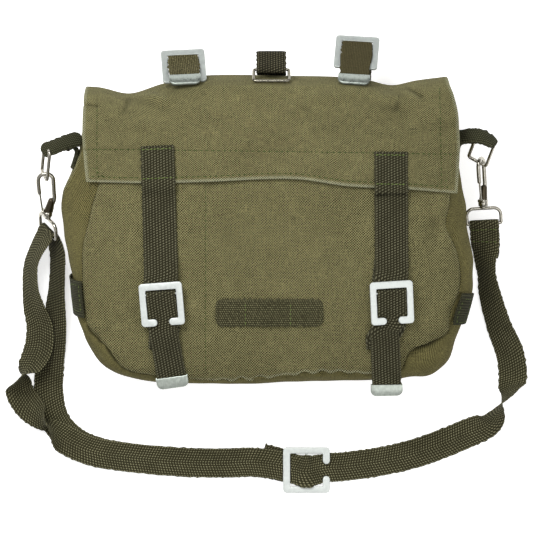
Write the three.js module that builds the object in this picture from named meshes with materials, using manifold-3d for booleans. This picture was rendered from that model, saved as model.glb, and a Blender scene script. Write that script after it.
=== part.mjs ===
// Military field bag lying on its back, with the shoulder strap laid round it.
// Millimetres, +Z up. The bag's front faces +Z and its top edge points to +Y.
// The origin is on the flat underside of the back panel.

import * as THREE from 'three';
import { mergeVertices } from 'three/addons/utils/BufferGeometryUtils.js';
import Module from 'manifold-3d';

const wasm = await Module();
wasm.setup();

const vec = (x, y, z) => new THREE.Vector3(x, y, z);

// Driving dimensions
const CANVAS = 1.6;
const FLAP_WALL = 1.8;
const GAP = 0.3;
const WRAP_GAP = 0.5;
const WEB = 1.4;
const NARROW_WEB = 25;
const WIDE_WEB = 29;
const FLAP_LIFT = 2.4;
const BACK_SCALE = { x: 0.91, y: 0.93 };
const DOME = {
  rim: 70, rise: 34, halfWidth: 172, widthPower: 2.6, centreY: -10, down: 128, up: 190, lengthPower: 3,
};

// Folds pressed into the front panel where it is gathered at the lower corners
const FOLDS = [
  { fromX: -150, fromY: -80, toX: -134, toY: -84, depth: 3, width: 5 },
  { fromX: 154, fromY: -80, toX: 122, toY: -95, depth: 4, width: 6 },
];

// Sections round the body, from the left end of the mouth, round the bottom, to the right end
const OUTLINE = [
  { outerX: -152, outerY: 98, seamX: -140, seamY: 94 },
  { outerX: -161.7, outerY: 60, seamX: -139.5, seamY: 62 },
  { outerX: -168.5, outerY: 43.7, seamX: -140.3, seamY: 43.7 },
  { outerX: -172.5, outerY: 26, seamX: -145.3, seamY: 26 },
  { outerX: -170.1, outerY: 5, seamX: -150.6, seamY: 5 },
  { outerX: -167.2, outerY: -11.8, seamX: -153.7, seamY: -11.8 },
  { outerX: -162.7, outerY: -37, seamX: -154.1, seamY: -37 },
  { outerX: -160.9, outerY: -53.8, seamX: -152.9, seamY: -53.8 },
  { outerX: -156.8, outerY: -77.3, seamX: -148.7, seamY: -77.3 },
  { outerX: -147, outerY: -96.6, seamX: -136, seamY: -95 },
  { outerX: -127.7, outerY: -113.4, seamX: -119.3, seamY: -109 },
  { outerX: -97.4, outerY: -121.8, seamX: -92, seamY: -117 },
  { outerX: -55, outerY: -123.5, seamX: -55, seamY: -120.5 },
  { outerX: -3, outerY: -123.5, seamX: -3, seamY: -118.4 },
  { outerX: 38, outerY: -122, seamX: 38, seamY: -113.8 },
  { outerX: 62, outerY: -121.5, seamX: 62, seamY: -113.4 },
  { outerX: 89, outerY: -121, seamX: 89, seamY: -115 },
  { outerX: 115, outerY: -119.5, seamX: 112, seamY: -113.5 },
  { outerX: 142, outerY: -113.4, seamX: 122, seamY: -98 },
  { outerX: 156.7, outerY: -96.6, seamX: 139.5, seamY: -89.5 },
  { outerX: 164.2, outerY: -77.3, seamX: 151.6, seamY: -77.3 },
  { outerX: 168, outerY: -66.4, seamX: 154.6, seamY: -66.4 },
  { outerX: 174.7, outerY: -37, seamX: 163.8, seamY: -37 },
  { outerX: 173.5, outerY: -11.8, seamX: 159.6, seamY: -11.8 },
  { outerX: 168.6, outerY: 5, seamX: 152, seamY: 5 },
  { outerX: 168, outerY: 26, seamX: 153.7, seamY: 26 },
  { outerX: 164.6, outerY: 43.7, seamX: 155, seamY: 43.7 },
  { outerX: 161.3, outerY: 60, seamX: 155, seamY: 62 },
  { outerX: 153, outerY: 98, seamX: 148, seamY: 94 },
];
const CORNER_ROWS = { left: 10, right: 18 };
const BODY_STEPS = { side: 12, bottom: 18, depth: 8 };

// How far the flap reaches over the top edge, and where its lower edge lies, across the width
const FLAP_REACH = [
  { x: -153, y: 125 },
  { x: -140, y: 124 },
  { x: -114, y: 119 },
  { x: -84, y: 127.5 },
  { x: -51, y: 133.5 },
  { x: 38, y: 133.5 },
  { x: 87, y: 131 },
  { x: 113, y: 126 },
  { x: 135, y: 130 },
  { x: 160, y: 133.5 },
];
const FLAP_HEM = [
  { x: -153, y: 45 },
  { x: -104, y: 43.7 },
  { x: -55, y: 44.5 },
  { x: 22, y: 47 },
  { x: 69, y: 41 },
  { x: 119, y: 38.6 },
  { x: 160, y: 35.5 },
];
// Side edges of the flap along its length, 0 at the back seam and 1 at the lower edge
const FLAP_SIDES = [
  { along: 0, left: -137, right: 139 },
  { along: 0.2, left: -149, right: 150 },
  { along: 0.5, left: -152, right: 154 },
  { along: 0.62, left: -153, right: 159.5 },
  { along: 0.8, left: -153, right: 162 },
  { along: 1, left: -150, right: 160 },
];
const FLAP_STEPS = { across: 24, along: 18 };
// Lift of the flap's underside half way to the top edge
const FLAP_ROUND = 1.6;

// Open C frame with a closed bar, two lips that leave a gap, and a middle bar in the window
const FRAME = { width: 36.7, length: 36, bar: 6, leg: 5.4, thick: 2.2, gap: 10, corner: 3, barRadius: 1 };
const MIDDLE_BAR_AT = { front: -4, top: -9, strap: 0 };
const REAR_BAR = { at: -15, drop: 4.1, halfLength: 15, cheek: 2, reach: 1.2 };
const FRAME_LIFT = 7.7;
const FLAT_UNDER_FRAME = 22;
const TIP = { width: 26.6, length: 10.5, thick: 3.2, slot: 2, floor: 1.6 };

const FASTENINGS = [
  {
    side: 'left', x: -86.7, y: -57, turn: 5, topX: -90.5, topY: 75,
    lowX: -85.6, anchorX: -85.6, tipX: -78.9, tipY: -117.5, tipTurn: 8,
  },
  {
    side: 'right', x: 104.8, y: -55.8, turn: 2.5, topX: 104, topY: 70,
    lowX: 99, anchorX: 95.5, tipX: 100.8, tipY: -124, tipTurn: 1,
  },
];
// Strap paths through a front buckle: distance below its centre and height over the bag's front
const FLAP_STRAP_PATH = [
  { below: -90, height: 2.4 },
  { below: -75, height: 1.8 },
  { below: -55, height: 1.8 },
  { below: -44, height: 2.6 },
  { below: -34, height: 3.8 },
  { below: -26, height: 4.9 },
  { below: -19, height: 5.55 },
  { below: -15, height: 5.6 },
  { below: -13.4, height: 4.8 },
  { below: -13, height: 3.6 },
  { below: -13.4, height: 2.4 },
  { below: -15, height: 1.6 },
  { below: -20, height: 1.3 },
  { below: -38, height: 1.2 },
];
const ANCHOR_PATH = [
  { below: 38, height: 1.2 },
  { below: 30, height: 1.2 },
  { below: 20, height: 1.3 },
  { below: 8, height: 1.8 },
  { below: 0.5, height: 3.6 },
  { below: -4.9, height: 5.9 },
  { below: -6, height: 7.7 },
  { below: -5.2, height: 9.3 },
  { below: -4, height: 9.7 },
  { below: -2.4, height: 9.3 },
  { below: 3, height: 7.9 },
  { below: 8, height: 6.2 },
  { below: 13, height: 5.4 },
];
const PULL_LOW_PATH = [
  { below: 22, height: 4.4 },
  { below: 32, height: 3.4 },
  { below: 46, height: 3.2 },
];
const KEEPER = {
  fromX: -42, toX: 47.7, y: -64, width: 23.5, lift: 0.6, arch: 1.6,
  stitchLeft: -16.8, stitchRight: 21, steps: 14,
};

const TOP_TABS = [
  { side: 'left', x: -68.9, y: 142, z: 68.5, tilt: 40, turn: 3.7, tipAt: 15, tipLift: 2.4, seat: 0 },
  { side: 'right', x: 76, y: 153.7, z: 57, tilt: 40, turn: -4.5, tipAt: 28, tipLift: 0, seat: 0.8 },
];
// Roots of the top tabs on the flap's top side, and their path through a top buckle
const TAB_ROOT = [
  { out: -0.4, z: 18 },
  { out: 1.8, z: 30 },
  { out: 2.9, z: 40 },
];
const TOP_PATH = [
  { below: -10.6, height: -6 },
  { below: -11, height: 0 },
  { below: -10.4, height: 1.5 },
  { below: -9, height: 2.05 },
  { below: -7, height: 2.1 },
  { below: 0, height: 2.5 },
];
const TOP_TIP_HEIGHT = 3.2;
const CENTRE_TAB_X = 4.5;
const CENTRE_PATH = [
  { y: 140, z: 55 },
  { y: 147, z: 60 },
  { y: 152, z: 63.5 },
  { y: 154.2, z: 67 },
  { y: 152.5, z: 70.5 },
  { y: 147, z: 74 },
  { y: 142, z: 77.2 },
  { y: 139, z: 78.35 },
  { y: 137.2, z: 77.5 },
  { y: 136.65, z: 76 },
  { y: 137.2, z: 74.5 },
  { y: 139, z: 73.65 },
  { y: 145, z: 71 },
];
const CENTRE_RING = { barY: 139, barZ: 76, width: 32, length: 16.3, wire: 1.3, corner: 1.8, rise: 45 };

// Side loops, rings, snap hooks and swivel eyes
const RING = { width: 20, length: 30, wire: 1.5, corner: 2.2 };
const LOOP_WEB = { width: 13, thick: 2.8 };
const HOOK = {
  wire: 2, archRadius: 6.3, archAt: 32.5, noseAt: 20, noseIn: 0.4, barrelRadius: 4.2, barrelHalf: 2.6,
  bore: 1.8, shoulderAt: 9, shoulderX: -4.4, straightAt: 14, rootX: -2.4, rootAt: 1.5, neckX: -3.6, neckAt: 5,
};
const HOOK_ON_RING = 34.7;
const GATE = { radius: 1.1, footX: 4.2, foot: 3.2, top: 19.6 };
const EYE = {
  width: 31.8, length: 16.5, wire: 1.5, corner: 1.2, shoulder: 6, neck: 3.4,
  stem: 1.4, head: 2.8, headThick: 1.2,
};
const LOOP_WRAP = RING.wire + WRAP_GAP + LOOP_WEB.thick / 2;

const CARRIERS = [
  {
    side: 'left', hang: 4,
    ringTop: vec(-183.5, 74, 57), ringDown: vec(-0.1, -0.86, -0.5), ringBar: vec(0.28, -0.48, 0.83),
    wrapFrom: vec(-1, 0, 0), wrapStart: vec(0, 1, 0),
    hookUp: vec(-0.03, 0.85, 0.52), gateSide: vec(-1, 0, 0), eyeWide: vec(0.43, -0.1, 0.88),
    out: [
      { at: vec(-156.2, 87, 57), across: vec(0.2, -0.75, 0.62) },
      { at: vec(-162, 84.5, 59), across: vec(0.25, -0.7, 0.66) },
      { at: vec(-170, 81, 60), across: vec(0.28, -0.55, 0.78) },
    ],
    home: [
      { at: vec(-176, 68.8, 53), across: vec(0.28, -0.48, 0.83) },
      { at: vec(-169.3, 71.4, 51), across: vec(0.2, -0.4, 0.9) },
      { at: vec(-165.2, 70.2, 48), across: vec(0.1, -0.2, 0.96) },
      { at: vec(-163.9, 64, 45), across: vec(0, 0, 1) },
      { at: vec(-166.4, 55, 43), across: vec(0, 0, 1) },
    ],
  },
  {
    side: 'right', hang: 3.5,
    ringTop: vec(183.7, 79.6, 56), ringDown: vec(-0.22, -0.62, -0.75), ringBar: vec(0.868, -0.47, 0.15),
    wrapFrom: vec(-0.22, -0.62, -0.75), wrapStart: vec(-0.45, -0.62, 0.64),
    hookUp: vec(-0.06, 0.945, 0.3), gateSide: vec(-0.38, -0.25, 0.89), eyeWide: vec(1, 0, 0),
    out: [
      { at: vec(162, 88.5, 51.5), across: vec(0.1, -0.4, 0.9) },
      { at: vec(164.6, 86, 55.5), across: vec(0.1, -0.6, 0.8) },
      { at: vec(168, 85, 60.3), across: vec(0.3, -0.75, 0.6) },
      { at: vec(175, 86, 63.5), across: vec(0.65, -0.65, 0.4) },
      { at: vec(181.5, 83.8, 63.6), across: vec(0.868, -0.47, 0.15) },
    ],
    home: [
      { at: vec(186.3, 84.8, 55.2), across: vec(0.868, -0.47, 0.15) },
      { at: vec(183.5, 88.4, 52.4), across: vec(0.75, -0.6, 0.28) },
      { at: vec(175.5, 89.6, 48), across: vec(0.3, -0.4, 0.86) },
      { at: vec(168, 84.5, 46), across: vec(0.2, -0.3, 0.93) },
      { at: vec(164, 77, 45.5), across: vec(0, -0.1, 1) },
      { at: vec(163.4, 69, 45.5), across: vec(0, 0, 1) },
    ],
  },
];
const GUSSET_TABS = [
  { side: 'left', from: 5.6, to: 7.15, slant: 0.45, back: 0.18, front: 0.94 },
  { side: 'right', from: 20.5, to: 21.65, slant: 0, back: 0.18, front: 0.96 },
];
const TAB_LIFT = 0.5;

// Shoulder strap: centre line on the ground and the roll of its width out of the level
const STRAP_FRAME = { x: 34.2, y: -197.6, z: 7.2, width: 38.6, length: 39.6 };
const RIGHT_RUN = [
  { x: 186.4, y: -33, z: 12, roll: 52 },
  { x: 188.6, y: -47, z: 11.5, roll: 43 },
  { x: 196.6, y: -74.8, z: 9.5, roll: 33 },
  { x: 206.6, y: -100.8, z: 6, roll: 15 },
  { x: 208.5, y: -121, z: 6, roll: 15 },
  { x: 205, y: -131, z: 12.5, roll: 60 },
  { x: 199.5, y: -140.3, z: 14, roll: 90 },
  { x: 194.5, y: -149.5, z: 12.5, roll: 122 },
  { x: 187, y: -159, z: 6, roll: 158 },
  { x: 171.4, y: -166.3, z: 2, roll: 176 },
  { x: 140.3, y: -178.9, z: 1.1, roll: 180 },
  { x: 115.9, y: -186.5, z: 1.1, roll: 180 },
  { x: 84.8, y: -192.4, z: 1.1, roll: 180 },
  { x: 64, y: -195, z: 1.8, roll: 180 },
  { x: 52.2, y: -195.7, z: 4.2, roll: 180 },
  { x: 45.7, y: -196.8, z: 4.7, roll: 180 },
  { x: 41.2, y: -197.6, z: 7, roll: 180 },
  { x: 37.2, y: -197.6, z: 10.1, roll: 180 },
  { x: 34.2, y: -197.6, z: 10.9, roll: 180 },
  { x: 30.2, y: -197.6, z: 9.7, roll: 180 },
  { x: 26.2, y: -197.4, z: 6.9, roll: 180 },
  { x: 21.4, y: -196.6, z: 4.55, roll: 180 },
  { x: 15.7, y: -194.6, z: 4.6, roll: 180 },
  { x: 6.2, y: -192.8, z: 4.5, roll: 180 },
  { x: -4, y: -191.5, z: 4.5, roll: 180 },
  { x: -14, y: -191, z: 3.6, roll: 180 },
  { x: -34.4, y: -191.8, z: 2.9, roll: 180 },
  { x: -66.4, y: -191.3, z: 2.9, roll: 180 },
  { x: -114.2, y: -187.3, z: 2.9, roll: 180 },
  { x: -147, y: -182, z: 2.9, roll: 180 },
  { x: -169, y: -172.5, z: 5, roll: 188 },
  { x: -179, y: -165, z: 12, roll: 228 },
  { x: -185, y: -159, z: 16.5, roll: 272 },
  { x: -191, y: -152.5, z: 12, roll: 325 },
  { x: -202, y: -142, z: 5.5, roll: 358 },
  { x: -208.5, y: -129.5, z: 8, roll: 376 },
  { x: -206, y: -118.5, z: 14.5, roll: 445 },
  { x: -199.5, y: -110, z: 12, roll: 505 },
  { x: -192.5, y: -95, z: 7, roll: 530 },
  { x: -191.2, y: -77, z: 8, roll: 518 },
  { x: -195.5, y: -61, z: 12, roll: 500 },
  { x: -198.6, y: -45, z: 14.5, roll: 485 },
  { x: -197.8, y: -22, z: 17, roll: 480 },
];
const LEFT_RUN = [
  { x: -176.2, y: -13.5, z: 16.5, roll: 56 },
  { x: -176, y: -28, z: 14.5, roll: 57 },
  { x: -176.8, y: -45.4, z: 13.5, roll: 54 },
  { x: -179, y: -79, z: 8, roll: 30 },
  { x: -183, y: -110, z: 2.2, roll: 5 },
  { x: -183.5, y: -135, z: 1.1, roll: 0 },
  { x: -178, y: -156, z: 1.1, roll: 0 },
  { x: -164, y: -172, z: 1.1, roll: 0 },
  { x: -146, y: -181, z: 1.1, roll: 0 },
  { x: -114.2, y: -187.3, z: 1.1, roll: 0 },
  { x: -66.4, y: -191.3, z: 1.1, roll: 0 },
  { x: -34.4, y: -191.8, z: 1.1, roll: 0 },
  { x: -8, y: -191.5, z: 1.1, roll: 0 },
  { x: 9.2, y: -194, z: 1.1, roll: 0 },
  { x: 20.2, y: -196.6, z: 1.15, roll: 0 },
  { x: 29.2, y: -197.6, z: 2.9, roll: 0 },
  { x: 33.4, y: -197.6, z: 5.25, roll: 0 },
  { x: 35.6, y: -197.6, z: 5.75, roll: 0 },
  { x: 36.2, y: -197.6, z: 7.2, roll: 0 },
  { x: 35.6, y: -197.6, z: 8.6, roll: 0 },
  { x: 34.2, y: -197.6, z: 9.2, roll: 0 },
  { x: 32.7, y: -197.6, z: 8.8, roll: 0 },
  { x: 30.2, y: -197.5, z: 7.2, roll: 0 },
  { x: 26.2, y: -197, z: 4.15, roll: 0 },
  { x: 22.2, y: -196, z: 2.85, roll: 0 },
  { x: 14.2, y: -192.5, z: 2.7, roll: 0 },
  { x: -3.8, y: -187, z: 2.8, roll: 0 },
];
// Sewn tail at the right eye, and its turn in degrees at the end
const EYE_TAIL = { length: 30, twist: 40 };

const OLIVE_CANVAS = new THREE.MeshStandardMaterial({ color: 0x76704e, roughness: 0.95, metalness: 0 });
const DARK_WEBBING = new THREE.MeshStandardMaterial({ color: 0x3f3d2b, roughness: 0.9, metalness: 0 });
const ALUMINIUM = new THREE.MeshStandardMaterial({ color: 0xd9dad8, roughness: 0.45, metalness: 1 });
const NICKEL = new THREE.MeshStandardMaterial({ color: 0xb9b6ae, roughness: 0.25, metalness: 1 });

const radians = THREE.MathUtils.degToRad;
const mix = THREE.MathUtils.lerp;
const ease = (x, from, to) => THREE.MathUtils.smoothstep(x, from, to);

// Smooth curve through the rows of a table, as a function of one column
function curveOf(rows, from, to) {
  const slope = (i) => {
    const before = rows[Math.max(i - 1, 0)];
    const after = rows[Math.min(i + 1, rows.length - 1)];
    return (after[to] - before[to]) / (after[from] - before[from]);
  };
  return (value) => {
    const last = rows.length - 2;
    const found = rows.findIndex((row, i) => i <= last && value <= rows[i + 1][from]);
    const i = found < 0 ? last : found;
    const span = rows[i + 1][from] - rows[i][from];
    const t = THREE.MathUtils.clamp((value - rows[i][from]) / span, 0, 1);
    const start = (1 + 2 * t) * (1 - t) ** 2 * rows[i][to] + t * (1 - t) ** 2 * span * slope(i);
    const end = t * t * (3 - 2 * t) * rows[i + 1][to] + t * t * (t - 1) * span * slope(i + 1);
    return start + end;
  };
}

// Height of the stuffed front, without its folds
function frontHeight(x, y) {
  const across = 1 - Math.min(Math.abs(x / DOME.halfWidth), 1) ** DOME.widthPower;
  const reach = y < DOME.centreY ? DOME.down : DOME.up;
  const along = 1 - Math.abs((y - DOME.centreY) / reach) ** DOME.lengthPower;
  return DOME.rim + DOME.rise * across * along;
}

// Height of the front panel with its folds pressed in
function panelHeight(x, y) {
  let height = frontHeight(x, y);
  for (const fold of FOLDS) {
    const line = new THREE.Line3(vec(fold.fromX, fold.fromY, 0), vec(fold.toX, fold.toY, 0));
    const near = line.closestPointToPoint(vec(x, y, 0), true, vec(0, 0, 0));
    const distance = near.distanceTo(vec(x, y, 0)) / fold.width;
    height -= fold.depth * Math.exp(-distance * distance);
  }
  return height;
}

// Closed geometry from points and triangles, turned so that its faces point out
function closedGeometry(points, triangles) {
  let volume = 0;
  for (const [a, b, c] of triangles) {
    volume += points[a].dot(vec(0, 0, 0).crossVectors(points[b], points[c]));
  }
  const ordered = volume < 0 ? triangles.map(([a, b, c]) => [a, c, b]) : triangles;
  const geometry = new THREE.BufferGeometry();
  geometry.setAttribute('position', new THREE.Float32BufferAttribute(points.flatMap((p) => p.toArray()), 3));
  geometry.setIndex(ordered.flat());
  geometry.computeVertexNormals();
  return geometry;
}

// Wall between two grids of points with the same rows and columns
function wallBetween(outer, inner) {
  const rows = outer.length;
  const columns = outer[0].length;
  const points = [...outer.flat(), ...inner.flat()];
  const at = (layer, i, j) => layer * rows * columns + i * columns + j;
  const triangles = [];
  const quad = (a, b, c, d) => triangles.push([a, b, c], [a, c, d]);
  for (let i = 0; i < rows - 1; i += 1) {
    for (let j = 0; j < columns - 1; j += 1) {
      quad(at(0, i, j), at(0, i + 1, j), at(0, i + 1, j + 1), at(0, i, j + 1));
      quad(at(1, i, j), at(1, i, j + 1), at(1, i + 1, j + 1), at(1, i + 1, j));
    }
  }
  for (let i = 0; i < rows - 1; i += 1) {
    quad(at(0, i, 0), at(1, i, 0), at(1, i + 1, 0), at(0, i + 1, 0));
    quad(at(0, i + 1, columns - 1), at(1, i + 1, columns - 1), at(1, i, columns - 1), at(0, i, columns - 1));
  }
  for (let j = 0; j < columns - 1; j += 1) {
    quad(at(0, 0, j + 1), at(1, 0, j + 1), at(1, 0, j), at(0, 0, j));
    quad(at(0, rows - 1, j), at(1, rows - 1, j), at(1, rows - 1, j + 1), at(0, rows - 1, j + 1));
  }
  return closedGeometry(points, triangles);
}

// Flat strap through rows that give its centre line and the direction of its width
function strapGeometry(rows, width, stepsPerRow = 1, thick = WEB) {
  const curve = new THREE.CatmullRomCurve3(rows.map((row) => row.at));
  const steps = (rows.length - 1) * stepsPerRow;
  const sections = [];
  for (let k = 0; k <= steps; k += 1) {
    const place = (k / steps) * (rows.length - 1);
    const i = Math.min(Math.floor(place), rows.length - 2);
    const along = curve.getTangent(k / steps);
    const across = rows[i].across.clone().lerp(rows[i + 1].across, place - i);
    across.addScaledVector(along, -across.dot(along)).normalize();
    const up = vec(0, 0, 0).crossVectors(across, along);
    const centre = curve.getPoint(k / steps);
    const corner = (side, face) => centre.clone().addScaledVector(across, (side * width) / 2)
      .addScaledVector(up, (face * thick) / 2);
    sections.push([corner(-1, -1), corner(1, -1), corner(1, 1), corner(-1, 1)]);
  }
  return loft(sections);
}

// Closed solid through sections with equal numbers of points
function loft(sections) {
  const sides = sections[0].length;
  const points = sections.flat();
  const triangles = [];
  for (let k = 0; k < sections.length - 1; k += 1) {
    for (let i = 0; i < sides; i += 1) {
      const next = (i + 1) % sides;
      const here = k * sides;
      const there = here + sides;
      triangles.push([here + i, here + next, there + next], [here + i, there + next, there + i]);
    }
  }
  const last = (sections.length - 1) * sides;
  for (let i = 1; i < sides - 1; i += 1) {
    triangles.push([0, i + 1, i], [last, last + i, last + i + 1]);
  }
  return closedGeometry(points, triangles);
}

// Solids for joining and cutting
function solidOf(geometry) {
  const bare = geometry.clone();
  bare.deleteAttribute('normal');
  bare.deleteAttribute('uv');
  const merged = mergeVertices(bare, 1e-4);
  return new wasm.Manifold(new wasm.Mesh({
    numProp: 3,
    vertProperties: merged.getAttribute('position').array,
    triVerts: new Uint32Array(merged.index.array),
  }));
}

function geometryOf(solid) {
  const mesh = solid.getMesh();
  const geometry = new THREE.BufferGeometry();
  geometry.setAttribute('position', new THREE.Float32BufferAttribute(mesh.vertProperties, 3));
  geometry.setIndex(Array.from(mesh.triVerts));
  geometry.computeVertexNormals();
  return geometry;
}

function joined(geometries) {
  return geometries.map(solidOf).reduce((sum, solid) => sum.add(solid));
}

// Round wire along an open run of points
function wireGeometry(points, radius, steps, sides = 8) {
  const circle = new THREE.EllipseCurve(0, 0, radius, radius).getPoints(sides);
  const section = new THREE.Shape(circle.slice(0, sides));
  const path = new THREE.CatmullRomCurve3(points);
  return new THREE.ExtrudeGeometry(section, { steps, extrudePath: path, curveSegments: sides });
}

// Rounded rectangle of round wire in the XY plane, centred on the origin
function ringGeometry({ width, length, corner, wire, shoulder = corner }) {
  const halfX = width / 2 - wire;
  const halfY = length / 2 - wire;
  const points = [];
  const arcSteps = 3;
  [[1, 1], [-1, 1], [-1, -1], [1, -1]].forEach(([signX, signY], quarter) => {
    for (let k = 0; k <= arcSteps; k += 1) {
      const angle = (quarter + k / arcSteps) * (Math.PI / 2);
      const radius = signY > 0 ? shoulder : corner;
      const centreX = signX * (halfX - radius);
      const centreY = signY * (halfY - radius);
      points.push(vec(centreX + radius * Math.cos(angle), centreY + radius * Math.sin(angle), 0));
    }
  });
  const sections = 6;
  const rows = points.map((point, i) => {
    const before = points[(i + points.length - 1) % points.length];
    const after = points[(i + 1) % points.length];
    const along = after.clone().sub(before).normalize();
    const out = vec(along.y, -along.x, 0);
    return Array.from({ length: sections }, (_, k) => {
      const angle = (k / sections) * 2 * Math.PI;
      const lift = vec(0, 0, wire * Math.sin(angle));
      return point.clone().addScaledVector(out, wire * Math.cos(angle)).add(lift);
    });
  });
  return ringLoft(rows);
}

// Closed ring through sections, the last one joined to the first
function ringLoft(sections) {
  const sides = sections[0].length;
  const triangles = [];
  for (let k = 0; k < sections.length; k += 1) {
    const here = k * sides;
    const there = ((k + 1) % sections.length) * sides;
    for (let i = 0; i < sides; i += 1) {
      const next = (i + 1) % sides;
      triangles.push([here + i, here + next, there + next], [here + i, there + next, there + i]);
    }
  }
  return closedGeometry(sections.flat(), triangles);
}

const bag = new THREE.Group();

function addPiece(name, geometry, material, parent = bag) {
  const mesh = new THREE.Mesh(geometry, material);
  mesh.name = name;
  parent.add(mesh);
  return mesh;
}

// Body: stations round the outline, shared by the panels and the gusset
const outerCurve = new THREE.CatmullRomCurve3(OUTLINE.map((row) => vec(row.outerX, row.outerY, 0)));
const seamCurve = new THREE.CatmullRomCurve3(OUTLINE.map((row) => vec(row.seamX, row.seamY, 0)));

function stationAt(place) {
  const share = place / (OUTLINE.length - 1);
  const outer = outerCurve.getPoint(share);
  const along = outerCurve.getTangent(share);
  const inward = vec(-along.y, along.x, 0);
  const seam = seamCurve.getPoint(share);
  const back = vec(outer.x * BACK_SCALE.x, outer.y * BACK_SCALE.y, 0);
  return { outer, seam, back, inward };
}

function bodyStations() {
  const places = [];
  const lastRow = OUTLINE.length - 1;
  for (let i = 0; i < BODY_STEPS.side; i += 1) {
    places.push((i / BODY_STEPS.side) * CORNER_ROWS.left);
  }
  for (let i = 0; i < BODY_STEPS.bottom; i += 1) {
    places.push(mix(CORNER_ROWS.left, CORNER_ROWS.right, i / BODY_STEPS.bottom));
  }
  for (let i = 0; i <= BODY_STEPS.side; i += 1) {
    places.push(mix(CORNER_ROWS.right, lastRow, i / BODY_STEPS.side));
  }
  return places.map(stationAt);
}

// Point on the gusset: depth 0 at the back edge, 1 at the front seam
function gussetPoint(station, depth, out) {
  const { outer, seam, back, inward } = station;
  const control = outer.clone().multiplyScalar(2).addScaledVector(back, -0.5).addScaledVector(seam, -0.5);
  const rest = 1 - depth;
  const point = back.clone().multiplyScalar(rest * rest)
    .addScaledVector(control, 2 * depth * rest).addScaledVector(seam, depth * depth);
  point.addScaledVector(inward, -out);
  point.z = depth * panelHeight(seam.x, seam.y);
  return point;
}

// Grid of points that fills the outline between its three edges and the straight mouth
function fillOutline(edge) {
  const { side, bottom } = BODY_STEPS;
  const left = (j) => edge[j];
  const right = (j) => edge[2 * side + bottom - j];
  const low = (i) => edge[side + i];
  const grid = [];
  for (let j = 0; j <= side; j += 1) {
    const v = j / side;
    const row = [];
    for (let i = 0; i <= bottom; i += 1) {
      const u = i / bottom;
      const point = left(j).clone().multiplyScalar(1 - u).addScaledVector(right(j), u);
      const mouth = left(0).clone().lerp(right(0), u);
      point.addScaledVector(mouth, 1 - v).addScaledVector(low(i), v);
      point.addScaledVector(left(0).clone().lerp(right(0), u), v - 1);
      point.addScaledVector(low(0).clone().lerp(low(bottom), u), -v);
      row.push(point);
    }
    grid.push(row);
  }
  return grid;
}

function buildBody() {
  const stations = bodyStations();
  const inset = CANVAS + GAP;
  const gussetGrid = (out) => stations.map((station) => {
    const row = [];
    for (let k = 0; k <= BODY_STEPS.depth; k += 1) {
      row.push(gussetPoint(station, k / BODY_STEPS.depth, out));
    }
    return row;
  });
  addPiece('gusset', wallBetween(gussetGrid(0), gussetGrid(-CANVAS)), OLIVE_CANVAS);

  const seamEdge = stations.map((station) => station.seam.clone().addScaledVector(station.inward, inset));
  const front = fillOutline(seamEdge);
  const raised = (lift) => front.map((row) => row.map((p) => vec(p.x, p.y, panelHeight(p.x, p.y) + lift)));
  addPiece('front_panel', wallBetween(raised(0), raised(-CANVAS)), OLIVE_CANVAS);

  const backEdge = stations.map((station) => station.back.clone().addScaledVector(station.inward, inset));
  const back = fillOutline(backEdge);
  const level = (z) => back.map((row) => row.map((p) => vec(p.x, p.y, z)));
  addPiece('back_panel', wallBetween(level(CANVAS), level(0)), OLIVE_CANVAS);
}

// Flap: each strip runs from the back seam, up the top side, over the ridge and down the front
function flapStrip(x, reach, hem) {
  const backY = OUTLINE[0].outerY * BACK_SCALE.y + GAP;
  const level = (y) => frontHeight(x, y) + FLAP_LIFT + FLAP_WALL / 2;
  const ridge = level(reach);
  const half = FLAP_WALL / 2;
  const points = [
    vec(x, backY, half),
    vec(x, mix(backY, reach, 0.5), half + FLAP_ROUND),
    vec(x, reach - 5, 0.15 * ridge),
    vec(x, reach, 0.45 * ridge),
    vec(x, reach - 3, 0.75 * ridge),
    vec(x, reach - 12, level(reach - 12) - 5),
    vec(x, reach - 28, level(reach - 28)),
  ];
  const frontSteps = 4;
  for (let k = 1; k <= frontSteps; k += 1) {
    const y = mix(reach - 28, hem, k / frontSteps);
    points.push(vec(x, y, level(y)));
  }
  return new THREE.CatmullRomCurve3(points).getSpacedPoints(FLAP_STEPS.along);
}

function buildFlap() {
  const reachAt = curveOf(FLAP_REACH, 'x', 'y');
  const hemAt = curveOf(FLAP_HEM, 'x', 'y');
  const leftAt = curveOf(FLAP_SIDES, 'along', 'left');
  const rightAt = curveOf(FLAP_SIDES, 'along', 'right');
  const wide = FLAP_SIDES[FLAP_SIDES.length - 2];
  const middle = [];
  for (let i = 0; i <= FLAP_STEPS.across; i += 1) {
    const u = i / FLAP_STEPS.across;
    const x = mix(wide.left, wide.right, u);
    const strip = flapStrip(x, reachAt(x), hemAt(x));
    strip.forEach((point, k) => {
      const along = k / FLAP_STEPS.along;
      point.setX(mix(leftAt(along), rightAt(along), u));
    });
    middle.push(strip);
  }
  const offset = (side) => middle.map((strip, i) => strip.map((point, k) => {
    const along = strip[Math.min(k + 1, FLAP_STEPS.along)].clone().sub(strip[Math.max(k - 1, 0)]);
    const normal = vec(0, -along.z, along.y).normalize();
    return point.clone().addScaledVector(normal, (side * FLAP_WALL) / 2);
  }));
  addPiece('flap', wallBetween(offset(-1), offset(1)), OLIVE_CANVAS);
}

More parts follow.
